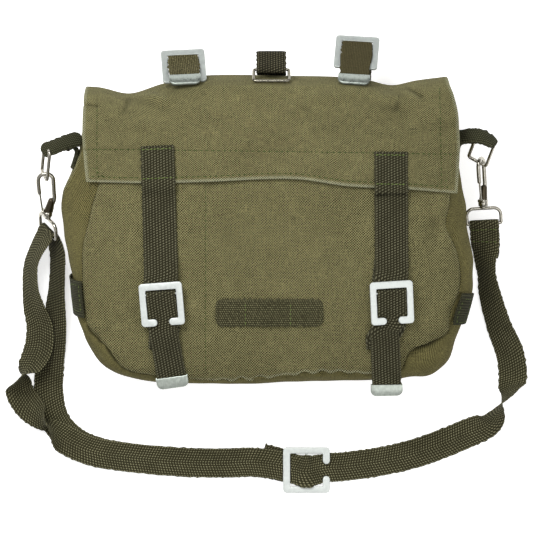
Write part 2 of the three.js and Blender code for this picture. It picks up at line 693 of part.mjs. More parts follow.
// Front buckles: level ground under the frame, easing to the bag's front around it
function groundUnder({ x: centreX, y: centreY }) {
  const step = 1;
  const level = frontHeight(centreX, centreY);
  const slopeX = (frontHeight(centreX + step, centreY) - frontHeight(centreX - step, centreY)) / (2 * step);
  const slopeY = (frontHeight(centreX, centreY + step) - frontHeight(centreX, centreY - step)) / (2 * step);
  return (x, y) => {
    const plane = level + slopeX * (x - centreX) + slopeY * (y - centreY);
    const away = Math.abs(y - centreY);
    return mix(plane, frontHeight(x, y), ease(away, FLAT_UNDER_FRAME, 2 * FLAT_UNDER_FRAME));
  };
}

// Row of a strap that lies at a height over the ground
function rowOver(ground, x, y, height, turn) {
  const side = vec(Math.cos(radians(turn)), Math.sin(radians(turn)), 0);
  const reach = NARROW_WEB / 2;
  const right = ground(x + side.x * reach, y + side.y * reach);
  const left = ground(x - side.x * reach, y - side.y * reach);
  const across = vec(side.x, side.y, (right - left) / (2 * reach)).normalize();
  return { at: vec(x, y, ground(x, y) + height), across };
}

// Frame of axes on a plane: X along the bars, Z away from the plane
function basisFrom(alongBars, normal) {
  const z = normal.clone().normalize();
  const x = alongBars.clone().addScaledVector(z, -alongBars.dot(z)).normalize();
  return new THREE.Matrix4().makeBasis(x, vec(0, 0, 0).crossVectors(z, x), z);
}

function frameOutline({ width, length }) {
  const halfX = width / 2;
  const halfY = length / 2;
  const lip = FRAME.gap / 2;
  const innerX = halfX - FRAME.leg;
  const innerTop = halfY - FRAME.bar;
  const shape = new THREE.Shape();
  shape.moveTo(-lip, -halfY);
  shape.absarc(-halfX + FRAME.corner, -halfY + FRAME.corner, FRAME.corner, -Math.PI / 2, -Math.PI, true);
  shape.absarc(-halfX + FRAME.corner, halfY - FRAME.corner, FRAME.corner, Math.PI, Math.PI / 2, true);
  shape.absarc(halfX - FRAME.corner, halfY - FRAME.corner, FRAME.corner, Math.PI / 2, 0, true);
  shape.absarc(halfX - FRAME.corner, -halfY + FRAME.corner, FRAME.corner, 0, -Math.PI / 2, true);
  shape.lineTo(lip, -halfY);
  shape.lineTo(lip, -innerTop);
  shape.lineTo(innerX, -innerTop);
  shape.lineTo(innerX, innerTop);
  shape.lineTo(-innerX, innerTop);
  shape.lineTo(-innerX, -innerTop);
  shape.lineTo(-lip, -innerTop);
  return shape;
}

function barAcross(halfLength, y, z) {
  const bar = new THREE.CylinderGeometry(FRAME.barRadius, FRAME.barRadius, 2 * halfLength, 8);
  return bar.rotateZ(Math.PI / 2).translate(0, y, z);
}

function frameGeometry(size, middleAt, rearBar = null) {
  const plate = new THREE.ExtrudeGeometry(frameOutline(size), {
    depth: FRAME.thick,
    bevelEnabled: false,
    curveSegments: 3,
  });
  plate.translate(0, 0, -FRAME.thick / 2);
  const pieces = [plate, barAcross(size.width / 2 - FRAME.leg + 1, -middleAt, 0)];
  if (rearBar) {
    const cheekX = rearBar.halfLength + rearBar.cheek / 2;
    const deep = rearBar.drop + rearBar.reach;
    pieces.push(barAcross(cheekX, -rearBar.at, -rearBar.drop));
    for (const side of [-1, 1]) {
      const cheek = new THREE.BoxGeometry(rearBar.cheek, 2 * rearBar.reach, deep);
      cheek.translate(side * cheekX, -rearBar.at, -deep / 2);
      pieces.push(cheek);
    }
  }
  return geometryOf(joined(pieces));
}

// Metal strap end: a folded plate, open towards the strap
function tipGeometry() {
  const half = TIP.thick / 2;
  const slot = TIP.slot / 2;
  const shape = new THREE.Shape();
  shape.moveTo(0, -half);
  shape.lineTo(TIP.length, -half);
  shape.lineTo(TIP.length, half);
  shape.lineTo(0, half);
  shape.lineTo(0, slot);
  shape.lineTo(TIP.length - TIP.floor, slot);
  shape.lineTo(TIP.length - TIP.floor, -slot);
  shape.lineTo(0, -slot);
  const plate = new THREE.ExtrudeGeometry(shape, { depth: TIP.width, bevelEnabled: false });
  return plate.translate(0, 0, -TIP.width / 2);
}

// Places a tip so that its open end is at a row and it points along the strap
function addTip(name, at, along, across) {
  const mesh = addPiece(name, tipGeometry(), ALUMINIUM);
  const x = along.clone().normalize();
  const z = across.clone().addScaledVector(x, -across.dot(x)).normalize();
  mesh.quaternion.setFromRotationMatrix(new THREE.Matrix4().makeBasis(x, vec(0, 0, 0).crossVectors(z, x), z));
  mesh.position.copy(at);
}

function buildFastening(fastening) {
  const { side, x, y, turn } = fastening;
  const ground = groundUnder(fastening);
  const normal = vec(ground(x - 1, y) - ground(x + 1, y), ground(x, y - 1) - ground(x, y + 1), 2).normalize();
  const basis = basisFrom(vec(Math.cos(radians(turn)), Math.sin(radians(turn)), 0), normal);
  const centre = vec(x, y, ground(x, y) + FRAME_LIFT);
  const geometry = frameGeometry(FRAME, MIDDLE_BAR_AT.front, REAR_BAR);
  const frame = addPiece(`front_frame_${side}`, geometry, ALUMINIUM);
  frame.position.copy(centre);
  frame.quaternion.setFromRotationMatrix(basis);

  const barsAlong = vec(1, 0, 0).transformDirection(basis);
  const inFrame = ({ below, height }) => ({
    at: vec(0, -below, height - FRAME_LIFT).applyMatrix4(basis).add(centre),
    across: barsAlong,
  });
  const near = (row) => Math.abs(row.below) <= FLAT_UNDER_FRAME;
  const strapX = (below) => mix(x, fastening.topX, below / (y - fastening.topY));
  const onFlap = FLAP_LIFT + FLAP_WALL + GAP + WEB;
  const flapRows = [];
  const flapSteps = 3;
  const hemBelow = y - curveOf(FLAP_HEM, 'x', 'y')(x) + 3;
  for (let k = 0; k <= flapSteps; k += 1) {
    const below = mix(y - fastening.topY, hemBelow, k / flapSteps);
    flapRows.push(rowOver(frontHeight, strapX(below), y - below, onFlap, 0));
  }
  for (const row of FLAP_STRAP_PATH) {
    const lean = turn * ease(row.below, FLAP_STRAP_PATH[0].below, -FLAT_UNDER_FRAME);
    const free = rowOver(ground, strapX(row.below), y - row.below, row.height, lean);
    flapRows.push(near(row) ? inFrame(row) : free);
  }
  addPiece(`flap_strap_${side}`, strapGeometry(flapRows, WIDE_WEB), DARK_WEBBING);

  const pullRows = ANCHOR_PATH.map((row) => {
    const anchorX = mix(x, fastening.anchorX, Math.min(row.below / FLAT_UNDER_FRAME, 1));
    return near(row) ? inFrame(row) : rowOver(ground, anchorX, y - row.below, row.height, turn);
  });
  const last = PULL_LOW_PATH[PULL_LOW_PATH.length - 1];
  const tipBelow = y - fastening.tipY;
  for (const row of PULL_LOW_PATH) {
    const share = (row.below - FLAT_UNDER_FRAME) / (tipBelow - FLAT_UNDER_FRAME);
    const lean = mix(turn, fastening.tipTurn, share);
    const rowX = mix(fastening.lowX, fastening.tipX, share);
    pullRows.push(rowOver(ground, rowX, y - row.below, row.height, lean));
  }
  const tipRow = rowOver(ground, fastening.tipX, fastening.tipY, last.height, fastening.tipTurn);
  const along = tipRow.at.clone().sub(pullRows[pullRows.length - 1].at).normalize();
  along.addScaledVector(tipRow.across, -along.dot(tipRow.across)).normalize();
  const insert = TIP.length - TIP.floor - GAP;
  pullRows.push(tipRow, { at: tipRow.at.clone().addScaledVector(along, insert), across: tipRow.across });
  addPiece(`pull_strap_${side}`, strapGeometry(pullRows, NARROW_WEB), DARK_WEBBING);
  addTip(`front_tip_${side}`, tipRow.at, along, tipRow.across);
}

// Horizontal strip on the front, raised between its two rows of stitches
function buildKeeper() {
  const rows = [];
  for (let k = 0; k <= KEEPER.steps; k += 1) {
    const x = mix(KEEPER.fromX, KEEPER.toX, k / KEEPER.steps);
    const between = ease(x, KEEPER.stitchLeft, 0) * (1 - ease(x, 0, KEEPER.stitchRight));
    rows.push(rowOver(frontHeight, x, KEEPER.y, KEEPER.lift + WEB / 2 + KEEPER.arch * between, 90));
  }
  addPiece('keeper_loop', strapGeometry(rows, KEEPER.width), DARK_WEBBING);
}

function rootRows(x, seat = 0) {
  const reachAt = curveOf(FLAP_REACH, 'x', 'y');
  const left = reachAt(x - NARROW_WEB / 2);
  const right = reachAt(x + NARROW_WEB / 2);
  const reach = Math.max((left + right) / 2, reachAt(x));
  const across = vec(NARROW_WEB, right - left, 0).normalize();
  return TAB_ROOT.map((row) => ({ at: vec(x, reach + row.out - seat, row.z), across }));
}

function buildTopTab({ side, x, y, z, tilt, turn, tipAt, tipLift, seat }) {
  const normal = vec(0, Math.sin(radians(tilt)), Math.cos(radians(tilt)));
  const alongBars = vec(1, 0, 0).applyAxisAngle(normal, radians(turn));
  const basis = basisFrom(alongBars, normal);
  const centre = vec(x, y, z);
  const frame = addPiece(`top_frame_${side}`, frameGeometry(FRAME, MIDDLE_BAR_AT.top), ALUMINIUM);
  frame.position.copy(centre);
  frame.quaternion.setFromRotationMatrix(basis);

  const inFrame = ({ below, height }) => ({
    at: vec(0, -below, height).applyMatrix4(basis).add(centre),
    across: alongBars,
  });
  const height = TOP_TIP_HEIGHT + tipLift;
  const tip = inFrame({ below: tipAt, height });
  const end = inFrame({ below: tipAt + TIP.length - TIP.floor - GAP, height });
  const approach = inFrame({ below: tipAt - 2, height });
  const rows = [...rootRows(x, seat), ...TOP_PATH.map(inFrame), approach, tip, end];
  addPiece(`top_tab_${side}`, strapGeometry(rows, NARROW_WEB), DARK_WEBBING);
  addTip(`top_tip_${side}`, tip.at, end.at.clone().sub(tip.at), alongBars);
}

function buildCentreTab() {
  const rows = rootRows(CENTRE_TAB_X);
  for (const row of CENTRE_PATH) {
    rows.push({ at: vec(CENTRE_TAB_X, row.y, row.z), across: vec(1, 0, 0) });
  }
  addPiece('centre_tab', strapGeometry(rows, NARROW_WEB), DARK_WEBBING);
  const { barY, barZ, length, wire, rise } = CENTRE_RING;
  const ring = addPiece('centre_ring', ringGeometry(CENTRE_RING), NICKEL);
  const reach = length / 2 - wire;
  const outY = reach * Math.cos(radians(rise));
  const upZ = reach * Math.sin(radians(rise));
  ring.position.set(CENTRE_TAB_X, barY - outY, barZ + upZ);
  ring.rotation.x = -radians(rise);
}

// Side carriers: loop, ring, hook, gate and eye share these axes
function carrierAxes(carrier) {
  const down = carrier.ringDown.clone().normalize();
  const bar = carrier.ringBar.clone().addScaledVector(down, -carrier.ringBar.dot(down)).normalize();
  const up = carrier.hookUp.clone().normalize();
  const side = carrier.gateSide.clone().addScaledVector(up, -carrier.gateSide.dot(up)).normalize();
  const wide = carrier.eyeWide.clone().addScaledVector(up, -carrier.eyeWide.dot(up)).normalize();
  const ringLow = carrier.ringTop.clone().addScaledVector(down, RING.length - 2 * RING.wire);
  const barrel = ringLow.addScaledVector(bar, carrier.hang).addScaledVector(up, -HOOK_ON_RING);
  const eyeBar = barrel.clone().addScaledVector(up, -(EYE.neck + EYE.length - EYE.wire));
  return { down, bar, up, side, wide, barrel, eyeBar, eyeNormal: vec(0, 0, 0).crossVectors(wide, up) };
}

function placed(mesh, x, y, origin) {
  mesh.quaternion.setFromRotationMatrix(new THREE.Matrix4().makeBasis(x, y, vec(0, 0, 0).crossVectors(x, y)));
  mesh.position.copy(origin);
}

// Folded webbing from the gusset round the ring's bar and back to the gusset
function buildSideLoop(carrier, axes) {
  const { bar } = axes;
  const square = (direction) => direction.clone().addScaledVector(bar, -direction.dot(bar)).normalize();
  const from = square(carrier.wrapFrom);
  const start = square(carrier.wrapStart);
  start.addScaledVector(from, -start.dot(from)).normalize();
  const rows = [...carrier.out];
  for (const angle of [100, 50, 0, -50, -100]) {
    const at = carrier.ringTop.clone().addScaledVector(from, LOOP_WRAP * Math.cos(radians(angle)));
    rows.push({ at: at.addScaledVector(start, LOOP_WRAP * Math.sin(radians(angle))), across: bar });
  }
  rows.push(...carrier.home);
  const geometry = strapGeometry(rows, LOOP_WEB.width, 2, LOOP_WEB.thick);
  addPiece(`side_loop_${carrier.side}`, geometry, DARK_WEBBING);
}

// Snap hook in its own plane: X towards the gate, Y from the barrel to the arch
function hookGeometry() {
  const { archRadius: radius, archAt, noseAt } = HOOK;
  const spine = [vec(HOOK.shoulderX, HOOK.shoulderAt, 0), vec(-radius, HOOK.straightAt, 0)];
  const arch = [180, 150, 120, 90, 60, 30, 0].map((angle) => (
    vec(radius * Math.cos(radians(angle)), archAt + radius * Math.sin(radians(angle)), 0)));
  const nose = [vec(radius, (archAt + noseAt) / 2, 0), vec(radius - HOOK.noseIn, noseAt, 0)];
  const wire = wireGeometry([...spine, ...arch, ...nose], HOOK.wire, 22);
  const neck = [vec(HOOK.rootX, HOOK.rootAt, 0), vec(HOOK.neckX, HOOK.neckAt, 0)];
  const root = wireGeometry([...neck, vec(HOOK.shoulderX, HOOK.shoulderAt + GAP, 0)], HOOK.wire, 3);
  const barrel = new THREE.CylinderGeometry(HOOK.barrelRadius, HOOK.barrelRadius, 2 * HOOK.barrelHalf, 12);
  const bore = new THREE.CylinderGeometry(HOOK.bore, HOOK.bore, 4 * HOOK.barrelHalf, 10);
  const roomRadius = EYE.head + GAP;
  const headRoom = new THREE.CylinderGeometry(roomRadius, roomRadius, 4, 12);
  headRoom.translate(0, HOOK.barrelHalf + 2, 0);
  return geometryOf(joined([wire, root, barrel]).subtract(solidOf(bore)).subtract(solidOf(headRoom)));
}

function gateGeometry() {
  const foot = vec(GATE.footX, GATE.foot, 0);
  const top = vec(HOOK.archRadius - 0.8, GATE.top, 0);
  return wireGeometry([foot, foot.clone().lerp(top, 0.5), top], GATE.radius, 4);
}

// Swivel eye: a loop for the strap, with a stem through the barrel and a head over it
function eyeGeometry() {
  const loop = ringGeometry(EYE);
  loop.translate(0, -EYE.neck - EYE.length / 2, 0);
  const headFoot = HOOK.barrelHalf + GAP;
  const stemLow = -EYE.neck - EYE.wire;
  const stem = new THREE.CylinderGeometry(EYE.stem, EYE.stem, headFoot + 0.5 - stemLow, 10);
  stem.translate(0, (headFoot + 0.5 + stemLow) / 2, 0);
  const head = new THREE.CylinderGeometry(EYE.head, EYE.head, EYE.headThick, 12);
  head.translate(0, headFoot + EYE.headThick / 2, 0);
  const collar = new THREE.CylinderGeometry(EYE.head, EYE.head, EYE.neck - HOOK.barrelHalf + 0.3, 12);
  collar.translate(0, -(EYE.neck + HOOK.barrelHalf + GAP + 0.6) / 2, 0);
  return geometryOf(joined([loop, stem, head, collar]));
}

function buildCarrier(carrier, axes) {
  buildSideLoop(carrier, axes);
  const ring = addPiece(`side_ring_${carrier.side}`, ringGeometry(RING), NICKEL);
  const ringCentre = carrier.ringTop.clone().addScaledVector(axes.down, RING.length / 2 - RING.wire);
  placed(ring, axes.bar, axes.down.clone().negate(), ringCentre);
  placed(addPiece(`hook_${carrier.side}`, hookGeometry(), NICKEL), axes.side, axes.up, axes.barrel);
  placed(addPiece(`gate_${carrier.side}`, gateGeometry(), NICKEL), axes.side, axes.up, axes.barrel);
  placed(addPiece(`swivel_eye_${carrier.side}`, eyeGeometry(), NICKEL), axes.wide, axes.up, axes.barrel);
}

// Webbing tabs that lie on the gusset
function buildGussetTab({ side, from, to, slant, back, front }) {
  const steps = { along: 4, deep: 8 };
  const pointAt = (along, deep, out) => {
    const depth = mix(back, front, deep);
    return gussetPoint(stationAt(mix(from, to, along) + slant * depth), depth, out);
  };
  const grid = (out) => Array.from({ length: steps.along + 1 }, (_, i) => (
    Array.from({ length: steps.deep + 1 }, (__, k) => pointAt(i / steps.along, k / steps.deep, out))));
  addPiece(`gusset_tab_${side}`, wallBetween(grid(TAB_LIFT + WEB), grid(TAB_LIFT)), DARK_WEBBING);
}

// Strap rows from a run's table: the width is level and square to the run, then rolled about it
function runRows(run) {
  const line = new THREE.CatmullRomCurve3(run.map((row) => vec(row.x, row.y, row.z)));
  return run.map((row, i) => {
    const along = line.getTangent(i / (run.length - 1));
    const level = vec(-along.y, along.x, 0).normalize();
    return { at: vec(row.x, row.y, row.z), across: level.applyAxisAngle(along, radians(row.roll)) };
  });
}

// Rows round an eye's bar, from one angle to another, 0 on the hook's side
function eyeRows(axes, angles) {
  const radius = EYE.wire + WRAP_GAP + WEB / 2;
  return angles.map((angle) => {
    const at = axes.eyeBar.clone().addScaledVector(axes.up, radius * Math.cos(radians(angle)));
    return { at: at.addScaledVector(axes.eyeNormal, radius * Math.sin(radians(angle))), across: axes.wide };
  });
}

function besideEye(axes, below, off) {
  const turn = radians(EYE_TAIL.twist) * (below / EYE_TAIL.length) ** 2;
  const across = axes.wide.clone().multiplyScalar(Math.cos(turn));
  across.addScaledVector(axes.eyeNormal, Math.sin(turn));
  const out = axes.eyeNormal.clone().multiplyScalar(Math.cos(turn));
  out.addScaledVector(axes.wide, -Math.sin(turn));
  return { at: axes.eyeBar.clone().addScaledVector(axes.up, -below).addScaledVector(out, off), across };
}

// Turns the width of later rows round where they point against the row before
function aligned(rows) {
  const result = [rows[0]];
  for (const row of rows.slice(1)) {
    const before = result[result.length - 1].across;
    const across = row.across.dot(before) < 0 ? row.across.clone().negate() : row.across;
    result.push({ at: row.at, across });
  }
  return result;
}

function buildShoulderStrap(leftAxes, rightAxes) {
  const layer = WEB / 2 + GAP;
  const tailAt = [1, 0.65, 0.33].map((share) => share * EYE_TAIL.length);
  const tail = tailAt.map((below) => besideEye(rightAxes, below, -layer - 0.2));
  const strap = tailAt.reverse().map((below) => besideEye(rightAxes, below, layer + 0.3));
  const start = [...tail, ...eyeRows(rightAxes, [-90, -45, 0, 45, 90]), ...strap];
  const frontRows = aligned([...start, ...runRows(RIGHT_RUN), ...eyeRows(leftAxes, [90, 45, 12, 0])]);
  addPiece('shoulder_strap_front', strapGeometry(frontRows, NARROW_WEB, 1), DARK_WEBBING);
  const backRows = aligned([...eyeRows(leftAxes, [-18, -30, -60, -95]), ...runRows(LEFT_RUN)]);
  addPiece('shoulder_strap_back', strapGeometry(backRows, NARROW_WEB, 1), DARK_WEBBING);
  const frame = addPiece('strap_frame', frameGeometry(STRAP_FRAME, MIDDLE_BAR_AT.strap), ALUMINIUM);
  placed(frame, vec(0, 1, 0), vec(-1, 0, 0), vec(STRAP_FRAME.x, STRAP_FRAME.y, STRAP_FRAME.z));
}

buildBody();
buildFlap();
FASTENINGS.forEach(buildFastening);
buildKeeper();
TOP_TABS.forEach(buildTopTab);
buildCentreTab();
const carrierAxesBySide = CARRIERS.map(carrierAxes);
CARRIERS.forEach((carrier, i) => buildCarrier(carrier, carrierAxesBySide[i]));
GUSSET_TABS.forEach(buildGussetTab);
buildShoulderStrap(...carrierAxesBySide);

export default bag;
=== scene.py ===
"""Military field bag lying on its back, seen from above, with its shoulder strap laid round it."""

import logging
import math
from dataclasses import dataclass, field
from enum import Enum
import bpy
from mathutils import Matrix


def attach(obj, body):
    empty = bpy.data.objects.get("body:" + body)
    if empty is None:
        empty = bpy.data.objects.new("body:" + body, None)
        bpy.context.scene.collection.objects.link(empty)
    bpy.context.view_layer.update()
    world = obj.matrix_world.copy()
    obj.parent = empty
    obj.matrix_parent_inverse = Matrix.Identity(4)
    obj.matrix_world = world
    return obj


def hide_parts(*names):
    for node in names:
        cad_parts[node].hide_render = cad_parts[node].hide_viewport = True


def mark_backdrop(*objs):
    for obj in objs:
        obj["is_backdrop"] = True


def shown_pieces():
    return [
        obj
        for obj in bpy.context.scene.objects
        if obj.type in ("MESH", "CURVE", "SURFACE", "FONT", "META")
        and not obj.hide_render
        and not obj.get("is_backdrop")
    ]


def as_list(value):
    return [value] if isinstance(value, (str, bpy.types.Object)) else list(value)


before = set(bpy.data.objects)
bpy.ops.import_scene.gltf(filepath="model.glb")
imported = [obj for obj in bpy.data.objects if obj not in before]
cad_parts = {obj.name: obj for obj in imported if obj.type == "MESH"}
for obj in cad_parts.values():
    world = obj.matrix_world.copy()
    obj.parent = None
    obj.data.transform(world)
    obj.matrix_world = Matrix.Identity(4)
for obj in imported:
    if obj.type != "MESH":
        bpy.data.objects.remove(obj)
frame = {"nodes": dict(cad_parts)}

from fnmatch import fnmatchcase
from typing import Callable, NamedTuple, Sequence

import bmesh
import bpy
import numpy as np
from mathutils import Vector
from numpy.typing import NDArray

Array = NDArray[np.float64]
Number = Array | float
Height = Callable[[Array, Array], Array]
Pair = tuple[float, float]
Triple = tuple[float, float, float]
Table = tuple[Pair, ...]
Span = tuple[float, float, float, float]
Run = tuple[Span, ...]
Piece = bpy.types.Object
LOG = logging.getLogger("field_bag")

# Sizes are in millimetres: walls and webs by their thickness, straps by their width.
MM = 0.001
METRE = 1000.0
CANVAS = 1.6
FLAP_WALL = 1.8
GAP = 0.3
WRAP_GAP = 0.5
WEB = 1.4
NARROW_WEB = 25.0
WIDE_WEB = 29.0
FLAP_LIFT = 2.4
SLIGHT = 0.01
# Shares of a wire's radius: the rings of the dome at its end, and how far the dome stands out.
DOME = (0.02, 0.5, 0.8, 0.95)
DOME_DEPTH = 0.8
# A tab's root: distances outside the flap's top edge, and heights.
TAB_ROOT = ((-0.4, 18), (1.8, 30), (2.9, 40))


class Slot(Enum):
    """Material slots of the part."""

    CANVAS = "canvas"
    WEBBING = "webbing"
    ALUMINIUM = "aluminium"
    NICKEL = "nickel"


class Side(Enum):
    """Side of the bag as seen from its front."""

    LEFT = "left"
    RIGHT = "right"


def vec(x: float, y: float, z: float) -> Array:
    """Make a point or direction from its shares to the right, to the top edge and upwards."""
    return np.array([x, y, z], dtype=float)


def unit(value: Array) -> Array:
    """Scale vectors along the last axis to length one."""
    return value / np.maximum(np.linalg.norm(value, axis=-1, keepdims=True), 1e-12)


def flat_line(pairs: Sequence[Pair]) -> Array:
    """Lay a line of points in the local XY plane."""
    return np.array([(x, y, 0.0) for x, y in pairs])


def square_to(value: Array, axis: Array) -> Array:
    """Lay a direction square to a unit axis."""
    return unit(value - axis * np.dot(value, axis))


def join(*parts: Number) -> Array:
    """Spread coordinates over one grid and join them along a new last axis."""
    return np.stack(np.broadcast_arrays(*parts), axis=-1)


def ease(value: Number, start: float, end: float) -> Array:
    """Step smoothly from 0 at the start to 1 at the end, level at both."""
    t = np.clip((np.asarray(value, dtype=float) - start) / (end - start), 0, 1)
    return t * t * (3 - 2 * t)


def plateau(value: Number, start: float, full: float, fall: float, end: float) -> Array:
    """Step smoothly from 0 up to 1 between two values, and back to 0 between two more."""
    return ease(value, start, full) * (1 - ease(value, fall, end))


def bell(value: Array, centre: float, width: float) -> Array:
    """Read a smooth bump of height one that falls to about a third at its width."""
    return np.exp(-(((value - centre) / width) ** 2))


def curve_through(points: Array, places: Array) -> Array:
    """Follow a smooth curve through points.

    Between two rows it is a cubic, whose slopes come from the square roots of the distances round them.

    Args:
        points: Points to pass through, in order.
        places: Row numbers to read, whole or between two rows.

    Returns:
        One point for each place.
    """
    rows = np.vstack([2 * points[0] - points[1], points, 2 * points[-1] - points[-2]])
    first = np.clip(np.floor(places).astype(int), 0, len(points) - 2)
    t = (places - first)[:, None]
    p0, p1, p2, p3 = (rows[first + k] for k in range(4))
    d0, d1, d2 = (
        np.maximum(np.sqrt(np.linalg.norm(b - a, axis=1, keepdims=True)), 1e-4)
        for a, b in ((p0, p1), (p1, p2), (p2, p3))
    )
    m1 = d1 * ((p1 - p0) / d0 - (p2 - p0) / (d0 + d1) + (p2 - p1) / d1)
    m2 = d1 * ((p2 - p1) / d1 - (p3 - p1) / (d1 + d2) + (p3 - p2) / d2)
    t2, t3 = t * t, t**3
    return (2 * t3 - 3 * t2 + 1) * p1 + (t3 - 2 * t2 + t) * m1 + (3 * t2 - 2 * t3) * p2 + (t3 - t2) * m2


def heading(points: Array, places: Array) -> Array:
    """Find the directions of the smooth curve through points, from slight steps to both sides."""
    ahead = curve_through(points, np.minimum(places + SLIGHT, len(points) - 1))
    return unit(ahead - curve_through(points, np.maximum(places - SLIGHT, 0)))


def graph_through(table: Table, values: Number) -> Number:
    """Read a smooth graph given by a table: a cubic between two pairs, its slopes from the pairs beside them.

    Args:
        table: Pairs of value and height, in rising order of value.
        values: Where to read the graph.

    Returns:
        The heights.
    """
    rows = np.array(table, dtype=float)
    slopes = np.empty(len(rows))
    slopes[1:-1] = (rows[2:, 1] - rows[:-2, 1]) / (rows[2:, 0] - rows[:-2, 0])
    slopes[0] = (rows[1, 1] - rows[0, 1]) / (rows[1, 0] - rows[0, 0])
    slopes[-1] = (rows[-1, 1] - rows[-2, 1]) / (rows[-1, 0] - rows[-2, 0])
    at = np.clip(np.searchsorted(rows[:, 0], values) - 1, 0, len(rows) - 2)
    span = rows[at + 1, 0] - rows[at, 0]
    t = np.clip((values - rows[at, 0]) / span, 0, 1)
    start = (1 + 2 * t) * (1 - t) ** 2 * rows[at, 1] + t * (1 - t) ** 2 * span * slopes[at]
    return start + t * t * (3 - 2 * t) * rows[at + 1, 1] + t * t * (t - 1) * span * slopes[at + 1]


def ripple(seed: int, *places: Array, waves: int = 9) -> Array:
    """Sum a few waves of random direction into a soft uneven field of height about one.

    Args:
        seed: Number that picks the waves.
        places: Coordinates, scaled so that one unit is about one ripple.
        waves: How many waves are summed.

    Returns:
        The field's height.
    """
    rng = np.random.default_rng(seed)
    total = np.zeros(np.broadcast(*places).shape)
    for _ in range(waves):
        pull = rng.normal(size=len(places))
        pull *= rng.uniform(3.5, 7.5) / np.linalg.norm(pull)
        phase = rng.uniform(0, 2 * math.pi)
        total += np.sin(sum(k * p for k, p in zip(pull, places)) + phase)
    return total / math.sqrt(waves / 2)


def run_length(points: Array) -> Array:
    """Measure the way from the first point of a line to each of its points."""
    steps = np.linalg.norm(np.diff(points, axis=0), axis=1)
    return np.concatenate([[0], np.cumsum(steps)])


def read_along(run: Array, rows: Array, at: Array) -> Array:
    """Read every column of rows at distances along a line."""
    return np.stack([np.interp(at, run, column) for column in rows.T], axis=1)


def tangents(points: Array) -> Array:
    """Find the directions along a line of points."""
    return unit(np.gradient(points, axis=0))


def turned(vectors: Array, axes: Array, degrees: Number) -> Array:
    """Turn vectors about axes.

    The result is the vector times the cosine, its cross product times the sine and the rest along the axis.

    Args:
        vectors: Vectors to turn.
        axes: Unit axes.
        degrees: Angles of the turn.

    Returns:
        The turned vectors.
    """
    angle = np.radians(np.asarray(degrees, dtype=float))[..., None]
    dot = np.sum(axes * vectors, axis=-1, keepdims=True)
    cos, sin = np.cos(angle), np.sin(angle)
    return vectors * cos + np.cross(axes, vectors) * sin + axes * dot * (1 - cos)


class Axes(NamedTuple):
    """Local axes of a piece and the place of their origin."""

    x: Array
    y: Array
    z: Array
    origin: Array

    @classmethod
    def on(cls, along: Array, normal: Array, origin: Array) -> "Axes":
        """Set up axes on a plane, Z along its normal and X as close to a direction as it can be."""
        z, x = unit(normal), square_to(along, unit(normal))
        return cls(x, np.cross(z, x), z, origin)

    def out(self, points: Array) -> Array:
        """Move local points to their place on the bag."""
        return self.origin + points @ np.stack([self.x, self.y, self.z])


